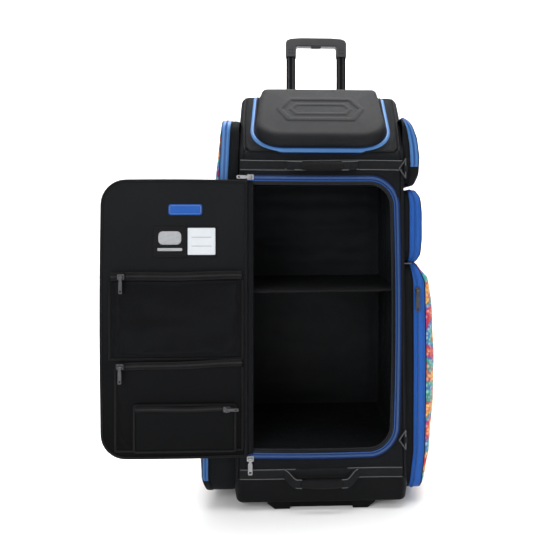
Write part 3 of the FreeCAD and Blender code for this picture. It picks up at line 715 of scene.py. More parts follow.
def metal(name, dark, light, roughness, scratch=(1, 1, 1)):
    m = Material(name, roughness, metallic=1.0)
    m.colour(m.mix(m.noise(8, 4), dark, light))
    m.rough(m.noise(2.5, 5, scratch), roughness - 0.06, roughness + 0.12)
    m.bump(m.noise(1.2, 3, scratch), 0.03)
    return m.data


def moulded(name, dark, light, roughness, grain=0.9, depth=0.06, gloss=0.35):
    m = Material(name, roughness, gloss=gloss)
    m.colour(m.mix(m.noise(18, 3), dark, light))
    m.rough(m.noise(6, 3), roughness - 0.07, roughness + 0.08)
    m.bump(m.cells(grain), depth)
    return m.data


def paper():
    m = Material("card_paper", 0.5, gloss=0.4)
    m.colour(m.mix(m.noise(20, 3), (0.50, 0.53, 0.56), (0.58, 0.61, 0.64)))
    m.bump(m.noise(1.5, 3), 0.05)
    return m.data


def pale_label():
    m = Material("pale_label", 0.6, gloss=0.2)
    m.colour(m.mix(m.noise(6, 3), (0.30, 0.31, 0.33), (0.42, 0.43, 0.45)))
    m.bump(m.weave(0.8), 0.1)
    return m.data


MAT = {
    "body": woven(
        "body_cloth", (0.0030, 0.0034, 0.0042), (0.0068, 0.0075, 0.0090),
        1.3, 0.65, 0.07),
    # The lining's last number is painted shade: its colour darkens to 0.35 times itself towards the floor.
    "lining": woven(
        "lining_cloth", (0.0066, 0.0075, 0.0084), (0.0176, 0.0198, 0.0220),
        0.8, 0.55, 0.1, 70, 0.01, 1.0, 0.35),
    "shelf": woven(
        "shelf_cloth", (0.007, 0.0075, 0.008), (0.012, 0.013, 0.014),
        0.9, 0.6, 0.08, 60, 0.1, 0.7),
    # The door's last number is painted shade: its colour darkens to 0.22 times itself towards the bottom.
    "door": woven(
        "door_cloth", (0.0052, 0.0056, 0.0062), (0.0092, 0.0098, 0.0110),
        1.0, 0.6, 0.045, 110, 0.02, 0.3, 0.22),
    "lid": lid_cloth(), "vinyl": vinyl(), "blue": blue_tape(), "teeth": blue_teeth(),
    "print": pocket_print(), "webbing": webbing_cloth(), "grey": grey_line(), "mesh": mesh_cloth(),
    "paper": paper(), "label": pale_label(),
    "binding": woven("binding_cloth", (0.0035, 0.0035, 0.004), (0.007, 0.007, 0.008), 0.7, 0.5, 0.1),
    "shine": coated("coated_zip", (0.005, 0.033, 0.115), (0.010, 0.053, 0.17), 0.42, 0.12),
    "bright": coated("pale_blue_coat", (0.032, 0.125, 0.32), (0.050, 0.170, 0.40), 0.5, 0.05),
    "navy": woven("navy_edge", (0.004, 0.012, 0.055), (0.007, 0.022, 0.09), 0.8, 0.5, 0.1),
    # The small pocket's last number is painted shade: its colour darkens to 0.42 times itself towards the
    # bottom.
    "pocket": woven("pocket_cloth", (0.0042, 0.0046, 0.0050), (0.0074, 0.0080, 0.0088),
        1.0, 0.6, 0.05, 110, 0.02, 0.3, 0.42),
    "dark_metal": metal("dark_metal", (0.05, 0.05, 0.053), (0.10, 0.10, 0.105), 0.38),
    "chrome": metal("zip_metal", (0.20, 0.20, 0.21), (0.36, 0.36, 0.37), 0.3),
    "steel": metal("steel", (0.36, 0.36, 0.37), (0.5, 0.5, 0.5), 0.34),
    "tube": metal("tube_metal", (0.010, 0.010, 0.011), (0.019, 0.019, 0.020), 0.36, (1, 1, 0.05)),
    "plastic": moulded("hard_plastic", (0.0018, 0.0018, 0.002), (0.0036, 0.0036, 0.004), 0.5, gloss=0.07),
    "grip": moulded("grip_plastic", (0.022, 0.022, 0.024), (0.034, 0.034, 0.036), 0.38),
    "button": moulded("button_plastic", (0.02, 0.02, 0.02), (0.03, 0.03, 0.03), 0.3),
    "rubber": moulded("tyre_rubber", (0.007, 0.007, 0.007), (0.013, 0.013, 0.013), 0.75, 1.4, 0.12),
    "core": moulded("wheel_core", (0.20, 0.21, 0.22), (0.27, 0.28, 0.29), 0.4),
    "facing": woven("facing_cloth", (0.012, 0.013, 0.014), (0.022, 0.023, 0.025), 0.7, 0.6, 0.1),
    "dark_teeth": moulded("dark_teeth", (0.012, 0.0125, 0.0135), (0.022, 0.023, 0.025), 0.35),
    "thread": moulded("thread", (0.012, 0.012, 0.013), (0.022, 0.022, 0.023), 0.7),
}


# ---------------------------------------------------------------- outer bag

ROLL = 9                            # radius of the rolled corner between front and sides
SHOULDER = 13                       # radius of the rolled edge along the top of each side


def crest(y):
    """Height of the bag's top edge at a depth y."""
    if y <= CREST_Y:
        return SLOPE_Z + (y - FACE)
    return lerp(CREST_Z, TOP_Z, (y - CREST_Y) / (REAR - CREST_Y))


def half_at(side, z):
    """Half width of the front: the bag spreads a little towards its foot."""
    up = min(max((z - BOOT.z1) / (SLOPE_Z - BOOT.z1), 0), 1)
    return HALF + lerp(8.0, -3.0 if side < 0 else 0.0, up ** 0.7)


def swell_at(y):
    """How far a side wall bulges at a depth."""
    return 11.0 * hump((y - FACE) / (REAR - FACE)) ** 0.8


def side_panels():
    """Each side wall with its rolled front edge and its rolled top edge."""
    low = BOOT.z1 - 6
    rows, roll_rows = 84, 9
    for label, side in (("left", -1), ("right", 1)):
        def wall(u, v):
            along = u * (REAR - FACE)
            turn = min(along / (ROLL * 1.57), 1.0)
            y = FACE + along if turn >= 1 else FACE + ROLL * (1 - math.cos(turn * math.pi / 2))
            top = crest(max(y, FACE + 1))
            row = v * (rows + roll_rows)
            if row <= rows:
                z, tuck = lerp(low, top - SHOULDER, row / rows), 0.0
            else:
                a = (row - rows) / roll_rows * math.pi / 2
                z, tuck = top - SHOULDER + SHOULDER * math.sin(a), SHOULDER * (1 - math.cos(a))
            up = (z - low) / (top - low)
            x = half_at(side, z) - ROLL * (1 - math.sin(turn * math.pi / 2)) - tuck
            puff = swell_at(y) * smooth(up / 0.1) + 1.6 * folds(y, 0, z, 70, side * 3.1) * hump(up) * turn
            return ((x + puff) * side, y, z)

        build = Build().grid(wall, 61, rows + roll_rows + 1, flip=side < 0)
        panel = f"{label}_side_panel"
        make(f"{label}_side_cloth", build, MAT["body"], "bag_body", "body_fabric", panel, thick=2)


def top_edge(side, y):
    """X of the rolled top edge at a depth, where the slope or the top meets the side wall."""
    return side * (half_at(side, crest(y)) + swell_at(y) - SHOULDER)


def front_ring():
    """The front face round the door opening."""
    outer = dict(x0=ROLL - HALF, x1=HALF - ROLL, z0=BOOT.z1 - 4, z1=SLOPE_Z)
    inner_loop = rect_loop(OPEN["x0"], OPEN["x1"], OPEN["z0"], OPEN["z1"], [2, OPEN_R, OPEN_R, 2], 9)
    mid_x = (OPEN["x0"] + OPEN["x1"]) / 2
    mid_z = (OPEN["z0"] + OPEN["z1"]) / 2

    def outward(p):
        """Where the ray from the opening's middle through p meets the outer edge."""
        x_side, z_side = "x1" if p.x > mid_x else "x0", "z1" if p.y > mid_z else "z0"
        reach_x = (outer[x_side] - mid_x) / (OPEN[x_side] - mid_x)
        reach_z = (outer[z_side] - mid_z) / (OPEN[z_side] - mid_z)
        dx, dz = (p.x - mid_x) * reach_x, (p.y - mid_z) * reach_z
        limit_x = outer["x1"] - mid_x if dx > 0 else mid_x - outer["x0"]
        limit_z = outer["z1"] - mid_z if dz > 0 else mid_z - outer["z0"]
        grow = 1 / max(abs(dx) / limit_x, abs(dz) / limit_z)
        x, z = mid_x + dx * grow, mid_z + dz * grow
        return Vector((x * (half_at(math.copysign(1, x), z) - ROLL) / (HALF - ROLL), z))

    count = len(inner_loop)
    outer_loop = [outward(p) for p in inner_loop]

    def cloth(u, v):
        i = round(u * count) % count
        p = inner_loop[i].lerp(outer_loop[i], v)
        wide = (outer_loop[i] - inner_loop[i]).length
        along = wide * v
        swell = (1.2 + 0.8 * folds(p.x, 0, p.y, 45)) * hump(v)
        swell = swell * smooth((wide - 30) / 30) * smooth((along - 16) / 14)
        return (p.x, FACE - 0.1 - swell, p.y)

    build = Build().grid(cloth, count, 9, close_u=True)
    make("front_cloth", build, MAT["body"], "bag_body", "body_fabric", "front_panel", thick=2)


def top_and_back():
    """The panel behind the lid and the back wall."""
    inner = HALF - ROLL

    def top(u, v):
        y = lerp(CREST_Y - 1, REAR - 2, v)
        x = lerp(top_edge(-1, y), top_edge(1, y), u)
        return (x, y, crest(max(y, CREST_Y)) + (2.2 + 0.8 * folds(x, y, 0, 50)) * hump(u) * hump(v))

    build = Build().grid(top, 61, 26)
    make("top_cloth", build, MAT["body"], "bag_body", "body_fabric", "top_panel", thick=2)

    low = HOUSING.z1 - 6

    def back(u, v):
        x = lerp(-HALF + 1, HALF - 1, u)
        z = lerp(low, TOP_Z - 4, v)
        drop = 6 * smooth((abs(x) - inner) / ROLL)
        return (x, REAR - drop + 1.5 * hump(u) * hump(v) + 1.0 * folds(x, 0, z, 80, 5), z)

    build = Build().grid(back, 61, 90, flip=True)
    notch = HOUSING.x0 - 3

    def back_foot(u, v):
        return (lerp(-notch, notch, u), REAR - 0.5, lerp(BOOT.z1 - 4, low + 6, v))

    build.grid(back_foot, 24, 4, flip=True)
    make("back_cloth", build, MAT["body"], "bag_body", "body_fabric", "back_panel", thick=2)


def bag_piping():
    """Rolled piping on the seams where panels meet."""
    piping = Build()
    for side in (-1, 1):
        heights = range(int(BOOT.z1) + 4, int(SLOPE_Z) - 2, 16)
        front = [Vector((side * (half_at(side, z) - 6), FACE - 0.6, z)) for z in heights]
        piping.tube(front, 1.9)
        edge = []
        for k in range(41):
            y = lerp(FACE + 2, REAR - 6, k / 40)
            edge.append(Vector((top_edge(side, y) + side * 3.5, y, crest(y) - 0.4)))
        rear, bend = side * (HALF - 3), edge[-1].copy()
        foot = Vector((rear, REAR - 0.5, TOP_Z - 26))
        for t in (0.2, 0.4, 0.6, 0.8):
            edge.append(bend.lerp(foot, t) + Vector((0, 5 * hump(t) ** 0.5, 4 * hump(t))))
        piping.tube(edge + spread([foot, Vector((rear, REAR - 0.5, HOUSING.z1 + 4))], 16), 2.2)
    across = [Vector((-HALF + 10, REAR - 1, TOP_Z - 2)), Vector((HALF - 10, REAR - 1, TOP_Z - 2))]
    piping.tube(spread(across, 20), 2.2)
    for y, z in ((CREST_Y, CREST_Z + 0.5), (FACE - 0.5, SLOPE_Z)):
        line = [Vector((top_edge(-1, y), y, z)), Vector((top_edge(1, y), y, z))]
        piping.tube(spread(line, 20), 1.6)
    make("bag_piping", piping, MAT["binding"], "bag_body", "body_fabric")


def boot():
    """The moulded vinyl boot with rounded lower edges, notched for the wheel housings."""
    gap = 1.0
    inner_x, notch_y = HOUSING.x0 - gap, HOUSING.y0 - gap
    corners = [
        (-HALF, FACE), (HALF, FACE), (HALF, notch_y), (inner_x, notch_y), (inner_x, REAR),
        (-inner_x, REAR), (-inner_x, notch_y), (-HALF, notch_y),
    ]
    radii = [11, 11, 3, 3, 3, 3, 3, 3]
    loop = rounded_loop(corners, radii, 8)
    count = len(loop)
    high, low, edge = BOOT.z1, BOOT.z0, 8
    profile = [
        (0.0, high + 1.5), (3.5, high + 2.0), (6.0, high + 0.5), (7.2, high - 4), (8.6, high - 12),
        (9.0, high - 20), (7.0, high - 32),
    ]
    profile += [(5.5 - edge + edge * math.cos(a), low + edge - edge * math.sin(a)) for a in quarter(6, 1)]
    middle = Vector((0, (FACE + REAR) / 2))
    rows = len(profile)

    def skin(u, v):
        i = round(u * count) % count
        out, z = profile[round(v * (rows - 1))]
        p = loop[i]
        ahead = loop[(i + 1) % count] - loop[i - 1]
        away = Vector((ahead.y, -ahead.x)).normalized()
        inside = p.y > notch_y - 4
        reach = out * (0.1 if inside else 0.35 + 0.65 * abs(away.x))
        crease = 0.7 * folds(p.x, p.y, z, 30, 9) * (0 if inside else 1)
        return (p.x + away.x * (reach + crease), p.y + away.y * (reach + crease), z)

    build = Build().grid(skin, count, rows, close_u=True, flip=True)
    last = (rows - 1) * count
    build.faces.append(tuple(last + i for i in reversed(range(count))))
    build.marks.append(0)
    make("vinyl_boot", build, MAT["vinyl"], "bag_body", "boot_vinyl", "base_tray")
    seam = Build()
    front_line = [p for p in loop if p.y < notch_y - 6]
    ordered = sorted(front_line, key=lambda p: math.atan2(p.x, middle.y - p.y))
    line = []
    for p in ordered:
        out = math.copysign(5.0, p.x) * smooth((abs(p.x) - 140) / 30)
        line.append(Vector((p.x + out, p.y - 2.2 * (p.y < FACE + 12), high + 1)))
    seam.tube(line, 1.6, normal=(0, 0, 1))
    make("boot_binding", seam, MAT["binding"], "bag_body", "boot_vinyl")


# ---------------------------------------------------------------- webbing, handles, ring tabs

STRIPS = {"upper": Box("webbing").z1 - 10.5, "lower": Box("webbing").z0 + 10.5}
RINGS = {"upper": Box("upper_ring"), "lower": Box("lower_ring")}
STRIP_HALF = 168                    # half the length of a strip
HANDLE_HALF = 76                    # half the length of a grab handle


def front_strips():
    """Two bands of webbing across the front with light edge lines, and the folded tabs of the rings."""
    strips = Build()
    for label, z in STRIPS.items():
        path = []
        for x in range(-STRIP_HALF, STRIP_HALF + 1, 6):
            path.append(Vector((x, FACE - 2.6 - 0.4 * math.sin(x / 31), z + 0.8 * math.sin(x / 53))))
        band(strips, path, 20, FRONT_OUT, 1.6)
        for edge in (-9.6, 9.6):
            line = moved(path, -1.2, edge)
            if label == "upper":
                strips.tube(line, 0.95, sides=6, mark=1)
            else:
                strips.tube([p for p in line if p.x < -52], 0.95, sides=6, mark=1)
                strips.tube([p for p in line if p.x > 52], 0.95, sides=6, mark=1)
            stitch(strips, moved(line, -0.75, -edge * 0.22), FRONT_OUT, 4.4, 3.0, 0.6, 2)
    for box in RINGS.values():
        x, y, z = box.x1 - 1.75, (box.y0 + box.y1) / 2, (box.z0 + box.z1) / 2
        loop = [
            (x + 1, FACE + 16, z), (x + 1.5, FACE + 6, z), (x + 1, FACE - 0.5, z), (x - 1, y + 2.6, z),
            (x - 3, y, z), (x - 1.5, y - 2.8, z), (x + 1.5, y - 2.6, z), (x + 3.4, y, z),
            (x + 3.6, FACE + 6, z), (x + 3, FACE + 16, z),
        ]
        strap = curve(loop, 1.2)
        section = [(-6, -0.5), (-6, 0.5), (6, 0.5), (6, -0.5)]
        out = []
        for i, p in enumerate(strap):
            run = strap[min(i + 1, len(strap) - 1)] - strap[max(i - 1, 0)]
            out.append(run.cross(Vector((0, 0, 1))))
        strips.sweep(strap, section, out)
    cloths = [MAT["webbing"], MAT["grey"], MAT["thread"]]
    make("front_strips", strips, cloths, "bag_body", "webbing", "webbing", bevel=0.25)


def grab_handles():
    """Padded handles: a stuffed sleeve between two flat ends that are sewn to the strip."""
    for label, z in STRIPS.items():
        droop = 2.0 if label == "upper" else 14.0

        def centre(t, droop=droop, z=z):
            x = lerp(-HANDLE_HALF, HANDLE_HALF, t)
            rise = smooth((0.5 - abs(t - 0.5)) / 0.17)
            wave = 0.8 * math.sin(7 * t)
            return Vector((x, FACE - 4.6 - 12.5 * rise + wave * rise, z - droop * rise - 1.2 * hump(t)))

        steps = 60
        path = [centre(i / steps) for i in range(steps + 1)]
        sides = 16
        sleeve = Build()
        rows = []
        for i in range(13, steps - 12):
            t = (i - 13) / (steps - 25)
            fat = 0.55 + 0.45 * math.sin(math.pi * min(max(t, 0.03), 0.97)) ** 0.35
            rows.append((path[i], fat))

        def skin(u, v, rows=rows):
            p, fat = rows[round(v * (len(rows) - 1))]
            a = 2 * math.pi * u
            across = math.copysign(abs(math.sin(a)) ** 0.7, math.sin(a)) * 10.2 * fat
            out = math.copysign(abs(math.cos(a)) ** 0.8, math.cos(a)) * 5.2 * fat
            dimple = 0.5 * folds(p.x, out, across, 9)
            return p + Vector((0, -out - dimple, across))

        sleeve.grid(skin, sides, len(rows), close_u=True)
        for row, turned in ((0, True), (len(rows) - 1, False)):
            face = [row * sides + i for i in range(sides)]
            sleeve.faces.append(tuple(face[::-1] if turned else face))
            sleeve.marks.append(0)
        node = f"{label}_grab_handle"
        pad = make(f"{label}_handle_sleeve", sleeve, MAT["binding"], "bag_body", "webbing", node)
        ends = Build()
        for part in (path[:15], path[-15:]):
            band(ends, part, 19, FRONT_OUT, 2.0)
            for edge in (-8.4, 8.4):
                ends.tube(moved(part, -1.6, edge), 0.9, sides=6, mark=1)
        for side in (-1, 1):
            cross = [
                Vector((side * x, FACE - 6.4, z + dz))
                for x, dz in ((75, -7), (64, -7), (64, 7), (75, 7), (75, -7), (64, 7), (64, -7), (75, 7))
            ]
            stitch(ends, cross, FRONT_OUT, 3.2, 2.3, 0.6, 2)
        cloths = [MAT["webbing"], MAT["grey"], MAT["thread"]]
        make(f"{label}_handle_ends", ends, cloths, "bag_body", "webbing")


# ---------------------------------------------------------------- main opening

def zip_line(offset):
    """The line round the free sides of the opening, from the hinge side along the top, down and back.
    It bows outwards on the free side and sags along the bottom. Offset is outwards, from the middle of
    the tape."""
    x1, z0, z1 = TAPE.x1 - 7 + offset, TAPE.z0 + 7 - offset, TAPE.z1 - 7 + offset
    r = OPEN_R + 7 + offset
    points = [(TAPE.x0 + 1, z1)]
    points += [(x, z1) for x in range(-140, int(x1 - r), 12)]
    points += [(x1 - r + r * math.sin(a), z1 - r + r * math.cos(a)) for a in quarter(12)]
    points += [(x1, z) for z in range(int(z1 - r) - 10, int(z0 + r), -12)]
    points += [(x1 - r + r * math.cos(a), z0 + r - r * math.sin(a)) for a in quarter(12)]
    points += [(x, z0) for x in range(int(x1 - r) - 10, -145, -12)]
    points.append((TAPE.x0 + 1, z0))
    line = []
    for x, z in points:
        up = (z - z0) / (z1 - z0)
        bow = (5.0 * hump(up) - 1.5) * smooth((x - 90) / 60)
        sag = -2.5 * hump((x - TAPE.x0) / 310) * (1 - up) - 1.0 * hump((x - TAPE.x0) / 310) * up
        line.append(Vector((x + bow, FACE - 1.8, z + sag)))
    return line


def main_zip():
    tape = Build()
    domed_band(tape, zip_line(0.8), 5.2, FRONT_OUT, 1.5, 3.4, (0, 1))
    tape.tube(moved(zip_line(7.4), -0.3), 1.3, sides=6, mark=2)
    cloths = [MAT["shine"], MAT["navy"], MAT["body"]]
    make("main_zip_tape_cloth", tape, cloths, "bag_body", "zip_tape", "main_zip_tape")
    chain = Build()
    teeth(chain, moved(zip_line(-4.6), -1.0), FRONT_OUT, 2.3, wide=2.6)
    band(chain, zip_line(-4.2), 3.0, FRONT_OUT, 0.8)
    make("main_zip_chain", chain, MAT["teeth"], "bag_body", "zip_tape", flat=True)
    facing = Build()
    path = zip_line(-7.6)
    band(facing, moved(path, 0.6), 5.0, FRONT_OUT, 0.8)
    band(facing, moved(zip_line(-10.0), 4.0), 7.0, [Vector(FRONT_OUT) for _ in path], 0.8)
    make("opening_facing", facing, MAT["facing"], "bag_body", "lining_fabric")


IN_X, IN_LOW, IN_HIGH, IN_BACK = SIDE.x0 - 2.5, FLOOR.z1 + 0.5, CEILING.z0 - 0.5, BOARD.y0 - 0.5


def interior():
    """The lining: one sleeve from the opening's rim to the back, a back wall, and folds where it is loose."""
    rim = oblong(OPEN["x0"] - 4, OPEN["x1"] - 2, OPEN["z0"] + 2, OPEN["z1"] - 2, [4, OPEN_R, OPEN_R, 4], 9)
    wide = oblong(-IN_X, IN_X, IN_LOW, IN_HIGH, [8, 8, 8, 8], 9)

    def resample(points, number):
        """The same closed line with evenly spaced points."""
        line = [Vector(p) for p in points]
        step = sum((line[i] - line[i - 1]).length for i in range(len(line))) / number
        out, lengths = [], [0.0]
        for a, b in zip(line, line[1:] + line[:1]):
            lengths.append(lengths[-1] + (b - a).length)
        j = 0
        for target in (k * step for k in range(number)):
            while lengths[j + 1] < target:
                j += 1
            a, b = line[j], line[(j + 1) % len(line)]
            out.append(a.lerp(b, (target - lengths[j]) / max(lengths[j + 1] - lengths[j], 1e-6)))
        return out

    number = 240
    rim_points, wide_points = resample(rim(0), number), resample(wide(0), number)
    middle = Vector((0, (IN_LOW + IN_HIGH) / 2))

    def sleeve(u, v):
        i = round(u * number) % number
        y = lerp(FACE + 3.5, IN_BACK, v)
        open_out = smooth((y - FACE - 3.5) / 16)
        p = rim_points[i].lerp(wide_points[i], open_out)
        loose = smooth((y - FACE) / 60) * smooth((IN_BACK - y) / 25)
        on_side = abs(p.x) > IN_X - 6
        on_floor = p.y < IN_LOW + 6
        if on_side:
            fold = 3.2 * (0.5 + 0.5 * folds(y * 3.2, 0, p.y * 0.45, 60, 1.5 * math.copysign(1, p.x)))
            fold += 1.2 * folds(y, 0, p.y, 34)
        elif on_floor:
            fold = 2.6 * (0.5 + 0.5 * folds(p.x, y, 0, 46, 3)) + 0.8 * folds(p.x, y, 0, 20)
        else:
            fold = 2.0 * (0.5 + 0.5 * folds(p.x, y, 0, 50, 8))
        if on_side:
            inward = Vector((-math.copysign(1, p.x), 0))
        else:
            inward = Vector((0, 1)) if on_floor else (middle - p).normalized()
        q = p + inward * fold * loose
        return (q.x, y, q.y)

    build = Build().grid(sleeve, number, 60, close_u=True, flip=True)

    def wall(u, v):
        x, z = lerp(-IN_X, IN_X, u), lerp(IN_LOW, IN_HIGH, v)
        edge = smooth(min(u, 1 - u) / 0.1) * smooth(min(v, 1 - v) / 0.06)
        above = smooth((z - SHELF.z1) / 60)
        crease = math.sin((z + 9 * folds(x, 0, z, 60)) / 7.0) * (0.5 + 0.5 * folds(x, 0, z, 55, 4))
        fold = edge * (2.0 + 2.6 * above * crease + 2.2 * folds(x * 0.5, 0, z * 1.6, 60, 2))
        return (x, IN_BACK - 0.5 - fold, z)

    build.grid(wall, 80, 150)
    boards = ["floor_board", "ceiling_panel", "back_board"]
    make("inside_lining", build, MAT["lining"], "bag_body", "lining_fabric", boards)


def inside_shelf():
    """The padded shelf with a piped front edge."""
    x = IN_X - 1.5
    front, back = SHELF.y0 + 3, IN_BACK - 3
    middle = (SHELF.z0 + SHELF.z1) / 2

    def skin(u, v):
        across = lerp(-x, x, u)
        turn = v * 2
        top = turn < 1
        w = turn if top else 2 - turn
        y = lerp(back, front, w)
        thick = 3.6 * smooth((1 - w) / 0.03 + 0.12)
        tilt = 3.0 * u - 1.0
        wrinkle = 1.6 * folds(across * 0.6, y, 0, 34, 6) + 0.7 * folds(across, y, 5, 13)
        level = middle + tilt + (thick if top else -thick)
        z = level + wrinkle * hump(w) * 0.8 + 0.9 * folds(across, 0, 0, 22, 2)
        return (across, y, z)

    build = Build().grid(skin, 90, 101, flip=True)
    make("inside_shelf", build, MAT["shelf"], "bag_body", "lining_fabric", "shelf")
    edge = Build()
    line = []
    for i in range(80):
        u = i / 79
        px = lerp(-x, x, u)
        line.append(Vector((px, front - 1.5, middle + 3.0 * u - 1.0 + 0.9 * folds(px, 0, 0, 22, 2))))
    edge.tube(line, 3.6, sides=10)
    stitch(edge, moved(line, -3.4, -1.2), FRONT_OUT, *SEAM, 1)
    make("shelf_piping", edge, [MAT["binding"], MAT["thread"]], "bag_body", "lining_fabric")


# ---------------------------------------------------------------- top pocket and lid

SLOPE = math.sqrt(0.5)


def slope(x, up, out):
    """A point on the front slope: up along it from its foot, out from its surface."""
    return Vector((x, FACE + (up - out) * SLOPE, SLOPE_Z + (up + out) * SLOPE))


SLOPE_OUT = Vector((0, -SLOPE, SLOPE))
LID_LOW, LID_HIGH = 9.0, 196.0
LID_CORNERS = [56, 56, 15, 15]
SLOPE_LONG = SLOPE_RUN / SLOPE
LID_HALF = LID.x1


def top_pocket():
    """The cloth of the slope round the lid, and the pocket's lining below it."""
    inner = oblong(-LID_HALF - 4, LID_HALF + 4, 3.5, LID_HIGH + 3, [64, 64, 20, 20], 8)(0)
    middle = Vector((0, LID_HIGH / 2))

    def reach(p):
        """Where the ray from the middle through p meets the slope's edge."""
        d = p - middle
        limit = SLOPE_LONG + 1 - middle.y if d.y > 0 else middle.y + 1
        grow = min(HALF / max(abs(d.x), 1e-6), limit / max(abs(d.y), 1e-6))
        q = middle + d * grow
        edge = top_edge(math.copysign(1, q.x), FACE + q.y * SLOPE)
        return Vector((q.x * abs(edge) / HALF, q.y))

    def ring(u, v):
        i = round(u * len(inner)) % len(inner)
        p = inner[i].lerp(reach(inner[i]), v)
        return slope(p.x, p.y, 0.2 + 1.2 * hump(v) + 0.8 * folds(p.x, p.y, 0, 40) * hump(v))

    build = Build().grid(ring, len(inner), 7, close_u=True)
    make("slope_cloth", build, MAT["body"], "bag_body", "body_fabric", thick=2)

    tub = Build()
    outline = oblong(-128, 128, 22, 178, 16, 8)
    rings = [
        (-22, 1.0), (-16, -0.6), (-3, -1.0), (0, -4), (2, -20), (3, -44), (8, -50), (20, -51.5), (60, -50.5),
    ]
    tub.loft(outline, rings, lambda p, out: slope(p.x, p.y, out + 0.6 * folds(p.x, p.y, out, 25)), flip=True)
    make("top_pocket_lining", tub, MAT["lining"], "bag_body", "lining_fabric", "top_pocket_tray", thick=1.2)


def lid_path(grow, out):
    """The line round the lid's free sides in the slope's frame, from its upper left down and round."""
    half, low, high, r = LID_HALF + grow, LID_LOW - grow, LID_HIGH - 1, LID_CORNERS[0] + grow + 8
    points = [(-half, high - k * 8) for k in range(int((high - low - r) / 8))]
    points += [(-half + r - r * math.cos(a), low + r - r * math.sin(a)) for a in quarter(10)]
    start = -half + r + 8
    points += [(start + k * 8, low) for k in range(int((half - r - 8 - start) / 8) + 1)]
    points += [(half - r + r * math.sin(a), low + r - r * math.cos(a)) for a in quarter(10)]
    points += [(half, low + r + 8 + k * 8) for k in range(int((high - low - r) / 8))]
    flat = [Vector(p) for p in points]
    line, normals = [], []
    for i, p in enumerate(flat):
        run = (flat[min(i + 1, len(flat) - 1)] - flat[max(i - 1, 0)]).normalized()
        line.append(slope(p.x, p.y, out))
        away = Vector((run.y, -run.x))
        side = slope(away.x, away.y, 0) - slope(0, 0, 0)
        normals.append((side * 0.55 + SLOPE_OUT * 0.83).normalized())
    return line, normals


def lid_zip():
    """The lid's zip: two tapes and a chain round the free sides."""
    tape = Build()
    line, normals = lid_path(7.2, 2.2)
    domed_band(tape, line, 10.0, normals, 2.2, 3.0, (0, 1))
    for grow, out in ((0.4, 4.6), (13.4, 0.8)):
        path, ways = lid_path(grow, out)
        tape.tube(path, 1.2, sides=6, mark=2)
    cloths = [MAT["bright"], MAT["navy"], MAT["binding"]]
    make("lid_zip_cloth", tape, cloths, "bag_body", "zip_tape", "lid_zip_tape")
    chain = Build()
    line, normals = lid_path(6.2, 3.6)
    coarse_teeth(chain, line, normals, least=1)
    make("lid_zip_chain", chain, MAT["teeth"], "bag_body", "zip_tape", flat=True)


def hexagon(x, y, half_x, half_y, cut_in):
    """Distance inside (positive) or outside (negative) a long hexagon."""
    x, y = abs(x), abs(y)
    slant = math.hypot(cut_in, half_y)
    return min(half_y - y, ((half_x - x) * half_y - y * cut_in) / slant)


def lid():
    """The moulded lid: a domed shell with soft shoulders and a plain pressed border."""
    outline = oblong(-LID_HALF + 1, LID_HALF - 1, LID_LOW, LID_HIGH, LID_CORNERS, 3, 14)
    rings = [(3, 2.4), (0.6, 3.0), (0, 6), (-1.2, 12), (-1.0, 18), (0.4, 22.5)]
    rings += [(0.6 + 14 * (1 - math.cos(a)), 22.5 + 12.2 * math.sin(a)) for a in quarter(8, 1)]
    inset = 16
    while inset < 95:
        rings.append((inset, 34.8 + 1.6 * smooth((inset - 14) / 50)))
        inset += 1.9
    mid = (LID_LOW + LID_HIGH) / 2

    def place(p, out):
        lift = 0.0
        if out > 34:
            edge = hexagon(p.x, p.y - mid - 2, 98, 44, 26)
            lift = 1.5 * (smooth((edge + 1.5) / 3) - smooth((edge - 9) / 3))
            inner = hexagon(p.x, p.y - mid - 2, 70, 22, 14)
            lift += 1.4 * (smooth((inner + 1.5) / 3) - smooth((inner - 7) / 3))
            lift -= 0.8 * smooth((edge - 10) / 4)
        sag = 0.5 * folds(p.x, p.y, out, 60)
        lean = 1 - 0.012 * smooth(out / 20) - 0.038 * smooth((p.y - 60) / 120) * smooth((out - 6) / 16)
        return slope(p.x * lean, p.y, out + lift + sag)

    shell = Build().loft(outline, rings, place)
    piece = make("lid_cover", shell, MAT["lid"], "lid", "lid_foam", "lid_shell")
    inside = Build()
    rings = [(4, 3.4), (8, 5), (12, 20), (22, 28), (60, 31)]
    inside.loft(outline, rings, lambda p, out: slope(p.x, p.y, out), flip=True)
    make("lid_lining", inside, MAT["lining"], "lid", "lining_fabric", thick=1)
    seam = Build()
    line, normals = lid_path(0.4, 8.4)
    seam.tube(line, 1.4, sides=6)
    make("lid_edge_binding", seam, MAT["binding"], "lid", "lid_foam")
    strip = Build()
    top = LID_HIGH

    def flap(u, v):
        x = lerp(-LID_HALF + 26, LID_HALF - 26, u)
        up = lerp(top - 2.5, top + 5, v)
        out = lerp(7, 1.2, smooth(v)) + 1.5 * hump(v)
        return slope(x, up, out)

    strip.grid(flap, 50, 8)
    hinge = make("lid_hinge_cloth", strip, MAT["body"], None, "body_fabric", thick=1)
    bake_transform(hinge)


# ---------------------------------------------------------------- side pockets

def along_height(stops, z):
    """Value at a height from (value, height) stops, bottom to top."""
    for (a, z0), (b, z1) in zip(stops, stops[1:]):
        if z <= z1:
            return lerp(a, b, min(max((z - z0) / (z1 - z0), 0), 1))
    return stops[-1][0]


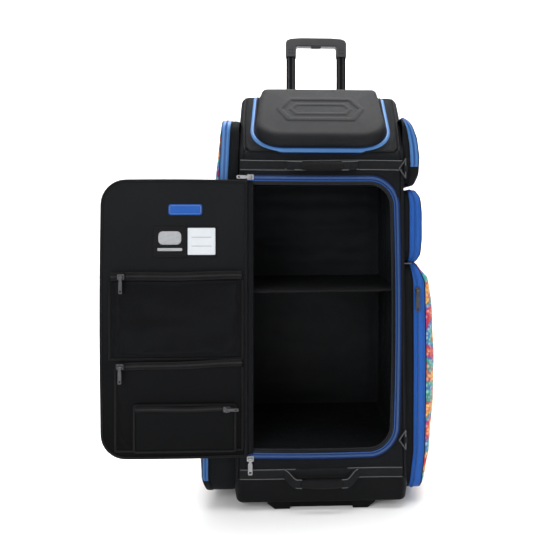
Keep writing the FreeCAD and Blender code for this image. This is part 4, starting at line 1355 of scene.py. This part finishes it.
class Pocket:
    """A zipped pocket on the bag's side: a cloth gusset out from the wall, a zip band round it and a soft
    face. Gusset, tape and reach give how far out from the mid-plane each ends, as stops of distance
    and height."""

    def __init__(self, node, side, radius, gusset, tape, reach, printed, black_below=0.0):
        self.node, self.side, self.box = node, side, Box(node)
        self.gusset, self.tape, self.reach = gusset, tape, reach
        self.printed, self.black_below = printed, black_below
        box = self.box
        self.outline = oblong(box.y0, box.y1, box.z0, box.z1, radius, 7, 10)

    def point(self, p, stops, share=0.0, more=None):
        """p is (Y, Z) on an outline; X is the stops' value there, or part of the way to another one."""
        x = along_height(stops, p.y)
        if more:
            x = lerp(x, along_height(more, p.y), share)
        return Vector((self.side * x, p.x, p.y))

    def on_tape(self, p, share):
        """A point on the zip band, by its share of the way from the gusset to the face."""
        return self.point(p, self.gusset, share, self.tape)

    def ways(self):
        """Outward directions round the outline."""
        points = self.outline(0)
        out = []
        for i in range(len(points)):
            run = points[(i + 1) % len(points)] - points[i - 1]
            out.append(Vector((self.side * 0.12, run.y, -run.x)).normalized())
        return out

    def blacken(self, piece, kind):
        """The faces below a height take the piece's other material."""
        if self.black_below:
            for face in piece.data.polygons:
                if face.center.z / MM < self.black_below:
                    face.material_index = kind
        return piece

    def build(self):
        side, name = self.side, self.node
        wall = [(HALF + 0.8, 0), (HALF + 0.8, 1000)]
        cloth = Build()

        def gusset(p, out):
            q = self.point(p, wall, out, self.gusset)
            crease = 1.1 * folds(q.y, q.x, q.z, 26, 3 + side) * hump(out)
            return (q.x, q.y + (crease if p.x < 100 else -crease), q.z)

        rings = [(2.0, 0.0), (0.6, 0.12), (-0.4, 0.35), (-0.6, 0.6), (-0.2, 0.85), (0.4, 1.0)]
        cloth.loft(self.outline, rings, gusset, cap=False, flip=side < 0)
        make(f"{name}_gusset", cloth, MAT["body"], "bag_body", "body_fabric", thick=1.5)

        tape = Build()
        rings = [(0.8, -0.02), (-0.6, 0.03), (-1.0, 0.2), (-1.2, 0.5), (-1.0, 0.8), (-0.6, 0.97), (0.8, 1.02)]
        tape.loft(self.outline, rings, self.on_tape, cap=False, flip=side < 0)
        for share in (-0.02, 1.02):
            tape.tube([self.on_tape(p, share) for p in self.outline(0.2)], 1.3, True, 6, 1)
        ways = self.ways()
        for share in (0.12, 0.88):
            line = [self.on_tape(p, share) for p in self.outline(-1.1)]
            for i in range(len(line)):
                a, c = line[i], line[(i + 1) % len(line)]
                length = (c - a).length
                if length > 3.0:
                    run = (c - a) / length
                    for k in range(round(length / 4.0)):
                        p = a.lerp(c, (k + 0.5) / round(length / 4.0)) + ways[i] * 0.2
                        tape.block(p, (2.6, 0.7, 0.5), (run, run.cross(ways[i]), ways[i]), 2, 0.6)
        blue = MAT["blue" if name in ("lower_right_pocket", "middle_right_pocket") else "bright"]
        piece = make(f"{name}_zip_tape", tape, [blue, MAT["binding"], MAT["teeth"]], "bag_body", "zip_tape")
        self.blacken(piece, 1)
        chain = Build()
        share = 0.38 if self.printed and side > 0 else 0.5
        line = [self.on_tape(p, share) for p in self.outline(-1.4)]
        coarse_teeth(chain, line, ways, True, 0, 0.4, self.black_below)
        make(f"{name}_zip_chain", chain, MAT["teeth"], "bag_body", "zip_tape", flat=True)

        face = Build()
        depth = 62
        rings = [(0.6, 0.0), (0.2, 0.05)]
        rings += [(0.8 + depth * (1 - math.cos(a)), 0.08 + 0.92 * math.sin(a)) for a in quarter(12, 1)]
        inset = depth
        while inset + 9 < (self.box.y1 - self.box.y0) / 2 - 2:
            inset += 8
            rings.append((inset, 1.0))

        def soft(p, share):
            q = self.point(p, self.tape, share, self.reach)
            puff = (2.2 * folds(p.x, 40, p.y, 48, 2 + side) - 1.2) * share
            return (q.x + side * puff, q.y, q.z)

        face.loft(self.outline, rings, soft, flip=side < 0)
        fabric, slot = (MAT["print"], "pocket_print") if self.printed else (MAT["body"], "body_fabric")
        piece = make(f"{name}_face", face, [fabric, MAT["body"]], "bag_body", slot, name)
        if self.printed:
            self.blacken(piece, 1)
        rim = self.outline(3)
        ys, zs = [p.x for p in rim], [p.y for p in rim]

        def sewn(x, y, z):
            return not (min(ys) < y < max(ys) and min(zs) < z < max(zs))

        drape(piece, sewn, 1.0, 0.6, 6.0, 10, 0.8)


POCKETS = [
    Pocket("lower_right_pocket", 1, 30,
           [(186, 25), (196, 110), (197, 300), (196, 470), (190, 509)],
           [(210, 25), (220, 110), (223, 300), (220, 470), (203, 509)],
           [(224, 25), (236, 66), (246, 110), (256, 200), (259, 260),
            (258, 330), (253, 426), (243, 480), (219, 509)], True),
    Pocket("middle_right_pocket", 1, 30,
           [(187, 511), (188, 540), (188, 630), (186, 666)],
           [(203, 511), (210, 528), (213, 560), (213, 618), (210, 648), (202, 666)],
           [(207, 511), (216, 527), (220, 560), (220, 618), (216, 650), (206, 666)], False),
    Pocket("upper_right_pocket", 1, 30,
           [(186, 677), (190, 720), (188, 760), (183, 790), (175, 822)],
           [(199, 677), (206, 700), (208, 735), (203, 775), (193, 803), (181, 822)],
           [(203, 677), (212, 698), (215, 735), (210, 772), (200, 802), (186, 822)], False, 716.0),
    Pocket("left_pocket", -1, 30,
           [(230, 25), (237, 60), (236, 150), (208, 420), (196, 690), (190, 814)],
           [(238, 25), (249, 60), (250, 150), (226, 420), (214, 690), (208, 814)],
           [(244, 25), (258, 60), (265, 120), (265, 320),
            (250, 520), (233, 700), (222, 780), (213, 814)], True, 58.0),
]


def pocket_details():
    """The slip pocket's binding at the top of the lower right gusset."""
    trim = Build()
    low = POCKETS[0].box
    line = [Vector((x, low.y0 - 0.6, low.z1 + 0.6 * math.sin(x / 9))) for x in range(175, 196, 3)]
    trim.tube(line, 1.4, sides=6)
    make("slip_pocket_binding", trim, MAT["grey"], "bag_body", "webbing")


# ---------------------------------------------------------------- back cover and hardware

def trolley_cover():
    """The padded cover over the trolley, sewn across into channels."""
    outline = oblong(COVER.x0, COVER.x1, COVER.z0, COVER.z1 - 1, 22, 8)
    deep = COVER.y1 - COVER.y0
    edge = ((0, 0.0), (-0.5, 0.3), (0.5, 0.6), (3, 0.8), (7, 0.92), (13, 0.98))
    rings = [(inset, deep * share) for inset, share in edge]
    inset = 13
    while inset < 98:
        inset += 5
        rings.append((inset, deep))

    def place(p, out):
        y = COVER.y0 + out
        if out > deep * 0.9:
            seam = abs(((p.y - COVER.z0) / 118) % 1 - 0.5) * 2
            y -= 4.5 * (1 - smooth((1 - seam) / 0.09)) * smooth((out - deep * 0.9) / (deep * 0.1))
            y -= 1.0 + 1.2 * folds(p.x, 0, p.y, 40)
        return (p.x, y, p.y)

    cover = Build().loft(outline, rings, place, flip=True)
    piece = make("trolley_cover_pad", cover, MAT["body"], "bag_body", "body_fabric", "back_cover")
    trim = Build()
    trim.tube(lay(outline(-1), COVER.y0 + 1.5), 2.0, True)
    make("trolley_cover_piping", trim, MAT["binding"], "bag_body", "body_fabric")


def trolley_trim():
    """Painted grooves down the front of the sliding tubes, and the grip's rivets: each groove is a flat dark
    strip of painted shade between two thin lighter metal lines that are painted highlights.
    """
    tubes = Box("trolley_upper_tubes")
    trim = Build()
    turn = (Vector((1, 0, 0)), Vector((0, 1, 0)), Vector((0, 0, 1)))
    high = GRIP.z0 - 1
    for side in (-1, 1):
        middle = side * (tubes.x1 - 12)
        size = (high - tubes.z0 - 4) / 2
        # Painted groove: the wide dark plastic strip is painted shade, the two thin lighter metal lines are
        # painted highlights.
        for shift, wide, mark in ((0, 8.0, 0), (-5.6, 1.5, 1), (5.6, 1.5, 1)):
            centre = Vector((middle + shift, tubes.y0 - 0.05, high - size))
            trim.block(centre, (wide, 0.3, size * 2), turn, mark, 0.9)
        for up in (9, 17):
            for shift in (-4, 4):
                p = Vector((side * (GRIP.x1 - 14) + shift, GRIP.y0, GRIP.z0 + up))
                trim.tube([p + Vector((0, 0.6, 0)), p + Vector((0, -0.5, 0))], 1.5, sides=10, mark=2)
    # Materials by mark: painted groove shade, painted groove-edge highlights, rivets.
    finishes = [MAT["plastic"], MAT["dark_metal"], MAT["plastic"]]
    make("trolley_trim", trim, finishes, "trolley_upper", "trolley_tube", flat=True)


FINISH = {
    "tube": ["trolley_outer_tubes", "trolley_middle_tubes", "trolley_upper_tubes"],
    "plastic": [
        "trolley_bezel", "trolley_foot_bracket", "wheel_housing_left", "wheel_housing_right", "front_skid",
    ],
    "grip": ["trolley_grip"],
    "button": ["release_button"],
    "rubber": ["tyre_left", "tyre_right"],
    "core": ["wheel_core_left", "wheel_core_right"],
    "steel": ["axle_left", "axle_right", "bearings_left", "bearings_right", "housing_screws"],
    "chrome": [
        "main_top_slider", "main_top_pull", "main_bottom_slider", "main_bottom_pull",
    ],
    "dark_metal": [
        "door_upper_slider", "door_upper_pull", "door_lower_slider", "door_lower_pull", "small_pocket_slider",
        "upper_ring", "lower_ring", "side_pocket_slider", "side_pocket_pull",
    ],
}


def hardware():
    """Hard parts keep their CAD shapes, with broken edges and their own finishes."""
    widths = {
        "tube": 1.0, "plastic": 1.6, "grip": 2.0, "button": 0.8, "rubber": 2.0, "core": 0.8, "steel": 0.4,
        "chrome": 0.4, "dark_metal": 0.4,
    }
    for finish, names in FINISH.items():
        for name in names:
            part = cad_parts[name]
            part.data.materials.clear()
            part.data.materials.append(MAT[finish])
            soften(part, widths[finish])


# ---------------------------------------------------------------- door

DOOR_IN, DOOR_OUT = DOOR_CORE.y0, DOOR_CORE.y1
DOOR_OUTLINE = oblong(DOOR.x0, DOOR.x1, DOOR.z0, DOOR.z1, [OPEN_R, 0.5, 0.5, OPEN_R], 9)


def door_bow(p):
    """The free edge of the door bows out a little."""
    share = (DOOR.x1 - p.x) / (DOOR.x1 - DOOR.x0)
    up = (p.y - DOOR.z0) / (DOOR.z1 - DOOR.z0)
    return Vector((p.x - 3.0 * share * hump(up), p.y + 1.5 * (2 * up - 1) * hump(share)))


def door_body():
    """The padded door: an inner face, an outer face and a bound edge."""
    inner, outer = DOOR_IN + 0.2, DOOR_OUT - 0.2
    rings = [(130, inner)]
    for inset in range(124, 10, -6):
        rings.append((inset, inner))
    rings += [(9, inner), (6, inner + 0.4), (4.5, inner + 2), (4.5, outer - 2), (6, outer - 0.4), (9, outer)]
    for inset in range(12, 132, 8):
        rings.append((inset, outer))
    split = next(i for i, ring in enumerate(rings) if ring == (4.5, inner + 2))
    marks = [0 if i < split else 1 for i in range(len(rings) - 1)]

    def place(p, out):
        q = door_bow(p)
        facing_in = out < (inner + outer) / 2
        edge = min(p.x - DOOR.x0, DOOR.x1 - p.x, p.y - DOOR.z0, DOOR.z1 - p.y)
        slack = 0.9 * folds(p.x, 0, p.y, 70, 1 if facing_in else 4)
        swell = 1.6 * smooth((edge - 6) / 50) + slack * smooth(edge / 30)
        return (q.x, out + (-swell if facing_in else swell * 0.6), q.y)

    body = Build().loft(DOOR_OUTLINE, rings, place, marks, first=True, flip=True)
    piece = make("door_cloth", body, [MAT["door"], MAT["body"]], "door", "door_fabric", "door_panel")

    edge = Build()
    loop = [door_bow(p) for p in DOOR_OUTLINE(3.2)]
    middle = (inner + outer) / 2
    ring = []
    for a in turns(14):
        ring.append((3.4 * math.copysign(abs(math.cos(a)) ** 0.7, math.cos(a)),
                     6.1 * math.copysign(abs(math.sin(a)) ** 0.8, math.sin(a))))
    edge.sweep(lay(loop, middle), ring, FRONT_OUT, closed=True)
    for side, y in ((-1, inner - 0.7), (1, outer + 0.7)):
        line = [door_bow(p) for p in DOOR_OUTLINE(5.6)]
        stitch(edge, lay(line, y), (0, side, 0), *SEAM, 1, True)
    make("door_edge_binding", edge, [MAT["binding"], MAT["thread"]], "door", "door_edge", "door_binding")


def slab(build, x0, x1, z0, z1, radius, y, thick, mark=0, step=6.0, puff=0.0):
    """A thin rounded sheet that lies on the door's inner face and faces forwards."""
    outline = oblong(x0, x1, z0, z1, radius, step, 5)
    rings = [(0, 0), (0, thick * 0.6), (min(0.8, thick * 0.5), thick)]
    inset = 6
    while inset < min(x1 - x0, z1 - z0) / 2 - 2:
        rings.append((inset, thick + puff))
        inset += 6
    return build.loft(outline, rings, lambda p, out: (p.x, y - out, p.y), [mark] * (len(rings) - 1))


def door_zip(name, x0, x1, z_left, z_right, y, wide):
    """A dark zip across the door."""
    tape = Build()
    path = []
    for i in range(50):
        t = i / 49
        z = lerp(z_left, z_right, t) + 0.8 * math.sin(t * 9)
        path.append(Vector((lerp(x0, x1, t), y - 1.2 * hump(t), z)))
    band(tape, path, wide, FRONT_OUT, 0.9)
    for shift in (-wide / 2 + 1.2, wide / 2 - 1.2):
        stitch(tape, moved(path, -0.9, shift), FRONT_OUT, 4.0, 2.6, 0.5, 1)
    chain = Build()
    teeth(chain, moved(path, -1.2), FRONT_OUT, 2.2, wide=3.6)
    make(f"{name}_tape", tape, [MAT["binding"], MAT["thread"]], "door", "zip_tape")
    make(f"{name}_chain", chain, MAT["dark_teeth"], "door", "zip_tape", flat=True)


def door_pockets():
    """Mesh pockets on the inner face: sewn down round their edges, gathered and slack between."""
    upper, lower, small = Box("door_upper_pocket"), Box("door_lower_pocket"), Box("door_small_pocket")
    base = DOOR_IN - 1.8
    specs = [("upper", upper, 17, 7.0, "mesh", 1), ("lower", lower, 12, 5.5, "door", 2)]
    for label, box, below, deep, fabric, seed in specs:
        name, node = f"door_{label}_mesh", f"door_{label}_pocket"
        x0, x1, z0, z1 = box.x0, box.x1 + 4, box.z0, box.z1 - below

        def skin(u, v, x0=x0, x1=x1, z0=z0, z1=z1, deep=deep, seed=seed):
            x, z = lerp(x0, x1, u), lerp(z0, z1, v)
            sides, foot = min(smooth(u / 0.1), smooth((1 - u) / 0.07)), smooth(v / 0.12)
            cover = min(sides, foot, smooth((1 - v) / 0.10) * 0.6 + 0.4)
            gather = 2.6 * math.exp(-((u - 0.955) / 0.02) ** 2) * hump(v)
            pleat = 1.5 * folds(x * 0.8, 0, z * 0.4, 26, seed) * (1 - v) ** 1.5
            crease = 1.2 * folds(x * 0.4, 0, z * 1.5, 40, seed + 3)
            out = deep * cover * (0.62 + 0.38 * (1 - v)) + (gather + pleat + crease) * min(1, cover * 1.4)
            if u in (0, 1) or v == 0:
                out = 0.3
            slant = 8.0 * (u - 0.5) * v if seed == 2 else 2.0 * (u - 0.5) * v
            return (x, base - max(out, 0.3), z + slant)

        cloth = Build().grid(skin, 96, 60)
        piece = make(name, cloth, MAT[fabric], "door", "door_mesh", node, thick=0.8)
        low_x, high_x, low_z = x0 + 3, x1 - 3, z0 + 3
        drape(piece, lambda x, y, z, a=low_x, b=high_x, c=low_z, d=z1 - 8: x < a or x > b or z < c or z > d,
              0.5, 1.0, 3.5, 8, 0.3)
        trim = Build()
        border = [(x0, z1), (x0, z0), (x1, z0), (x1, z1)]
        line = spread([Vector((x, base - 0.6, z)) for x, z in border], 8)
        band(trim, line, 5.0, FRONT_OUT, 1.0)
        stitch(trim, moved(line, -1.0), FRONT_OUT, *FINE_SEAM, 1)
        make(f"{name}_binding", trim, [MAT["binding"], MAT["thread"]], "door", "door_edge")

    door_zip("door_upper_zip", upper.x0 + 3, upper.x1 + 3, upper.z1 - 8.5, upper.z1 - 6, base - 4.6, 17)
    door_zip("door_lower_zip", lower.x0 + 1, lower.x1 + 3, lower.z1 - 9, lower.z1 - 2, base - 3.8, 15)

    flap = Build()
    slab(flap, small.x0, small.x1, small.z0, small.z1, [3, 3, 2, 2], small.y1 + 3.4, 3.2, puff=1.0)
    piece = make("door_small_pocket_cloth", flap, MAT["pocket"], "door", "door_mesh", "door_small_pocket")
    trim = Build()
    loop = rect_loop(small.x0, small.x1, small.z0, small.z1, 4, 8, 4)
    line = lay(loop, small.y1 - 0.2)
    band(trim, line, 4.5, FRONT_OUT, 1.2, True)
    stitch(trim, moved(line, -1.2), FRONT_OUT, *FINE_SEAM, 1, True)
    make("door_small_binding", trim, [MAT["binding"], MAT["thread"]], "door", "door_edge")
    top = small.z1 - 7
    door_zip("door_small_zip", small.x0 + 4, small.x1 - 4, top, top, small.y0 + 1.0, 10)


def door_labels():
    """The dark patch with a card in a thin frame, and plain tabs."""
    card = Box("card_window")
    y = DOOR_IN - 1.4
    patch = Build()
    slab(patch, card.x0 - 69, card.x1 + 3, card.z0 - 4, card.z1 + 2.5, 4, y, 1.2, 0, puff=0.3)
    border = rect_loop(card.x0 - 66, card.x0 - 3.5, card.z0 - 1.5, card.z1, 3, 6, 4)
    stitch(patch, lay(border, y - 1.5), FRONT_OUT, 3.4, 2.2, 0.5, 1, True)
    make("door_patch", patch, [MAT["binding"], MAT["thread"]], "door", "door_fabric")
    plain = Build()
    left, right = card.x0 - 58, card.x0 - 12
    slab(plain, left, right, card.z0 + 22, card.z1 - 8, 9, y - 1.3, 0.8)
    slab(plain, left - 2, right + 2, card.z0 + 9, card.z0 + 15, 2, y - 1.3, 0.8)
    make("plain_label", plain, MAT["label"], "door", "pocket_print")
    paper_build = Build()
    slab(paper_build, card.x0 + 1, card.x1 - 1, card.z0 + 1, card.z1 - 1, 2, y - 1.1, 0.6)
    make("id_card", paper_build, MAT["paper"], "door", "card_film", "card_window")
    rule = Build()
    for z in (card.z0 + 19, card.z0 + 37):
        line = [Vector((x, y - 1.75, z)) for x in range(int(card.x0) + 8, int(card.x1) - 6, 5)]
        rule.tube(line, 0.35, sides=5)
    frame_line = rect_loop(card.x0, card.x1, card.z0, card.z1, 3, 8, 4)
    rule.tube(lay(frame_line, y - 1.3), 0.9, True, 6, 1)
    make("card_rules", rule, [MAT["grey"], MAT["binding"]], "door", "card_film")
    tab = Build()
    x0, z0 = card.x0 - 38, card.z1 + 25
    slab(tab, x0, x0 + 68, z0, z0 + 22, 5, y, 1.4, 0, puff=0.4)
    loop = rect_loop(x0 + 3, x0 + 65, z0 + 3, z0 + 19, 3, 6, 4)
    stitch(tab, lay(loop, y - 1.9), FRONT_OUT, 3.2, 2.2, 0.8, 1, True)
    make("blue_tab", tab, [MAT["blue"], MAT["label"]], "door", "zip_tape")


def door_hinge():
    """The strip of cloth that the door swings on."""
    low, high = DOOR.z0 + 4, DOOR.z1 - 4

    def strip(u, v):
        z = lerp(low, high, v)
        x = lerp(OPEN["x0"] + 3, DOOR.x1 - 5, u)
        y = lerp(FACE - 1.6, DOOR_OUT - 4, u) - 2.4 * hump(u) - 0.5 * folds(x, 0, z, 18) * hump(u)
        return (x, y, z)

    cloth = Build().grid(strip, 16, 70, flip=True)
    piece = make("door_hinge_cloth", cloth, MAT["body"], None, "door_fabric", thick=1.6)
    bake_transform(piece)
    trim = Build()
    trim.tube([Vector((OPEN["x0"] + 1.5, FACE - 2.0, z)) for z in range(int(low), int(high) + 1, 20)], 1.6)
    make("hinge_seam", trim, MAT["binding"], "bag_body", "door_fabric")


def door_outside():
    """The door's outer face: a printed panel inside a plain border, with blue piping round it."""
    y = DOOR_OUT - 0.6
    panel = Build()
    outline = oblong(DOOR.x0 + 40, DOOR.x1 - 40, DOOR.z0 + 60, DOOR.z1 - 60, 36, 8)
    rings = [(0, 0), (0.3, 1.2), (2, 2.0)] + [(k * 10, 2.6) for k in range(1, 11)]
    panel.loft(outline, rings, lambda p, out: (door_bow(p).x, y + out, p.y), flip=True)
    make("door_outer_panel", panel, MAT["print"], "door", "pocket_print")
    trim = Build()
    trim.tube([Vector((door_bow(p).x, y + 1.6, p.y)) for p in outline(-1)], 1.8, True)
    make("door_outer_piping", trim, MAT["blue"], "door", "zip_tape")


# ---------------------------------------------------------------- place everything

side_panels()
front_ring()
top_and_back()
bag_piping()
boot()
front_strips()
grab_handles()
main_zip()
interior()
inside_shelf()
top_pocket()
lid_zip()
lid()
for pocket in POCKETS:
    pocket.build()
pocket_details()
trolley_cover()
trolley_trim()
hardware()
door_body()
door_pockets()
door_labels()
door_hinge()
door_outside()
settle()


# ---------------------------------------------------------------- floor, light and camera

AIR = 0.54                          # strength of the even light from all round
LAMPS = (                           # name, place, aim, size and power; the wall lamp lights the backdrop
    ("key", (-1.2, -2.3, 1.5), (0, 0, 0.5), 1.5, 32),
    ("fill", (1.9, -1.6, 1.6), (0, 0, 0.5), 1.6, 14),
    ("top", (0.1, 0.1, 2.5), (0, 0.05, 0.6), 1.6, 54),
    ("back", (0.3, 2.0, 1.8), (0, 0, 0.6), 1.5, 14),
    ("wall", (0.0, 0.9, 2.6), (0, 2.6, 0.9), 2.6, 80),
)
LENS, SENSOR = 34.63, 36            # millimetres
SHIFT = (-0.0727, -0.1036)
EYE = (-0.052, -1.129, 0.606)       # the camera's place in metres
EYE_TURN = -2                       # its turn from straight ahead, in degrees


def floor_and_light():
    ground = bpy.data.meshes.new("studio_floor")
    deep, high, bend, half = 2.6, 3.4, 0.9, 4.5
    line = [(-3.5, 0.0)] + [(deep - bend, 0.0)]
    line += [(deep - bend + bend * math.sin(a), bend - bend * math.cos(a)) for a in quarter(12, 1)]
    line.append((deep, high))
    verts = [(x, y, z - 0.0004) for y, z in line for x in (-half, half)]
    ground.from_pydata(verts, [], [(2 * i, 2 * i + 1, 2 * i + 3, 2 * i + 2) for i in range(len(line) - 1)])
    ground.polygons.foreach_set("use_smooth", [True] * len(ground.polygons))
    m = Material("studio_white", 0.9)
    m.colour(m.mix(m.noise(400, 2), (0.90, 0.90, 0.90), (0.93, 0.93, 0.93)))
    ground.materials.append(m.data)
    floor = bpy.data.objects.new("studio_floor", ground)
    bpy.context.scene.collection.objects.link(floor)

    world = bpy.data.worlds.new("studio_air")
    world.use_nodes = True
    air = world.node_tree.nodes["Background"]
    air.inputs["Color"].default_value = (1, 1, 1, 1)
    air.inputs["Strength"].default_value = AIR
    bpy.context.scene.world = world
    for name, place, aim, size, power in LAMPS:
        lamp = bpy.data.lights.new(name, "AREA")
        lamp.shape, lamp.size, lamp.energy = "SQUARE", size, power
        holder = bpy.data.objects.new(name, lamp)
        holder.location = place
        holder.rotation_euler = (Vector(aim) - Vector(place)).to_track_quat("-Z", "Y").to_euler()
        bpy.context.scene.collection.objects.link(holder)


def camera():
    data = bpy.data.cameras.new("camera")
    data.lens, data.sensor_width = LENS, SENSOR
    data.shift_x, data.shift_y = SHIFT
    data.clip_end = 30
    eye = bpy.data.objects.new("camera", data)
    eye.location = EYE
    eye.rotation_euler = (math.radians(90), 0, math.radians(EYE_TURN))
    bpy.context.scene.collection.objects.link(eye)
    bpy.context.scene.camera = eye


floor_and_light()
camera()
bpy.context.scene.view_settings.view_transform = "Standard"
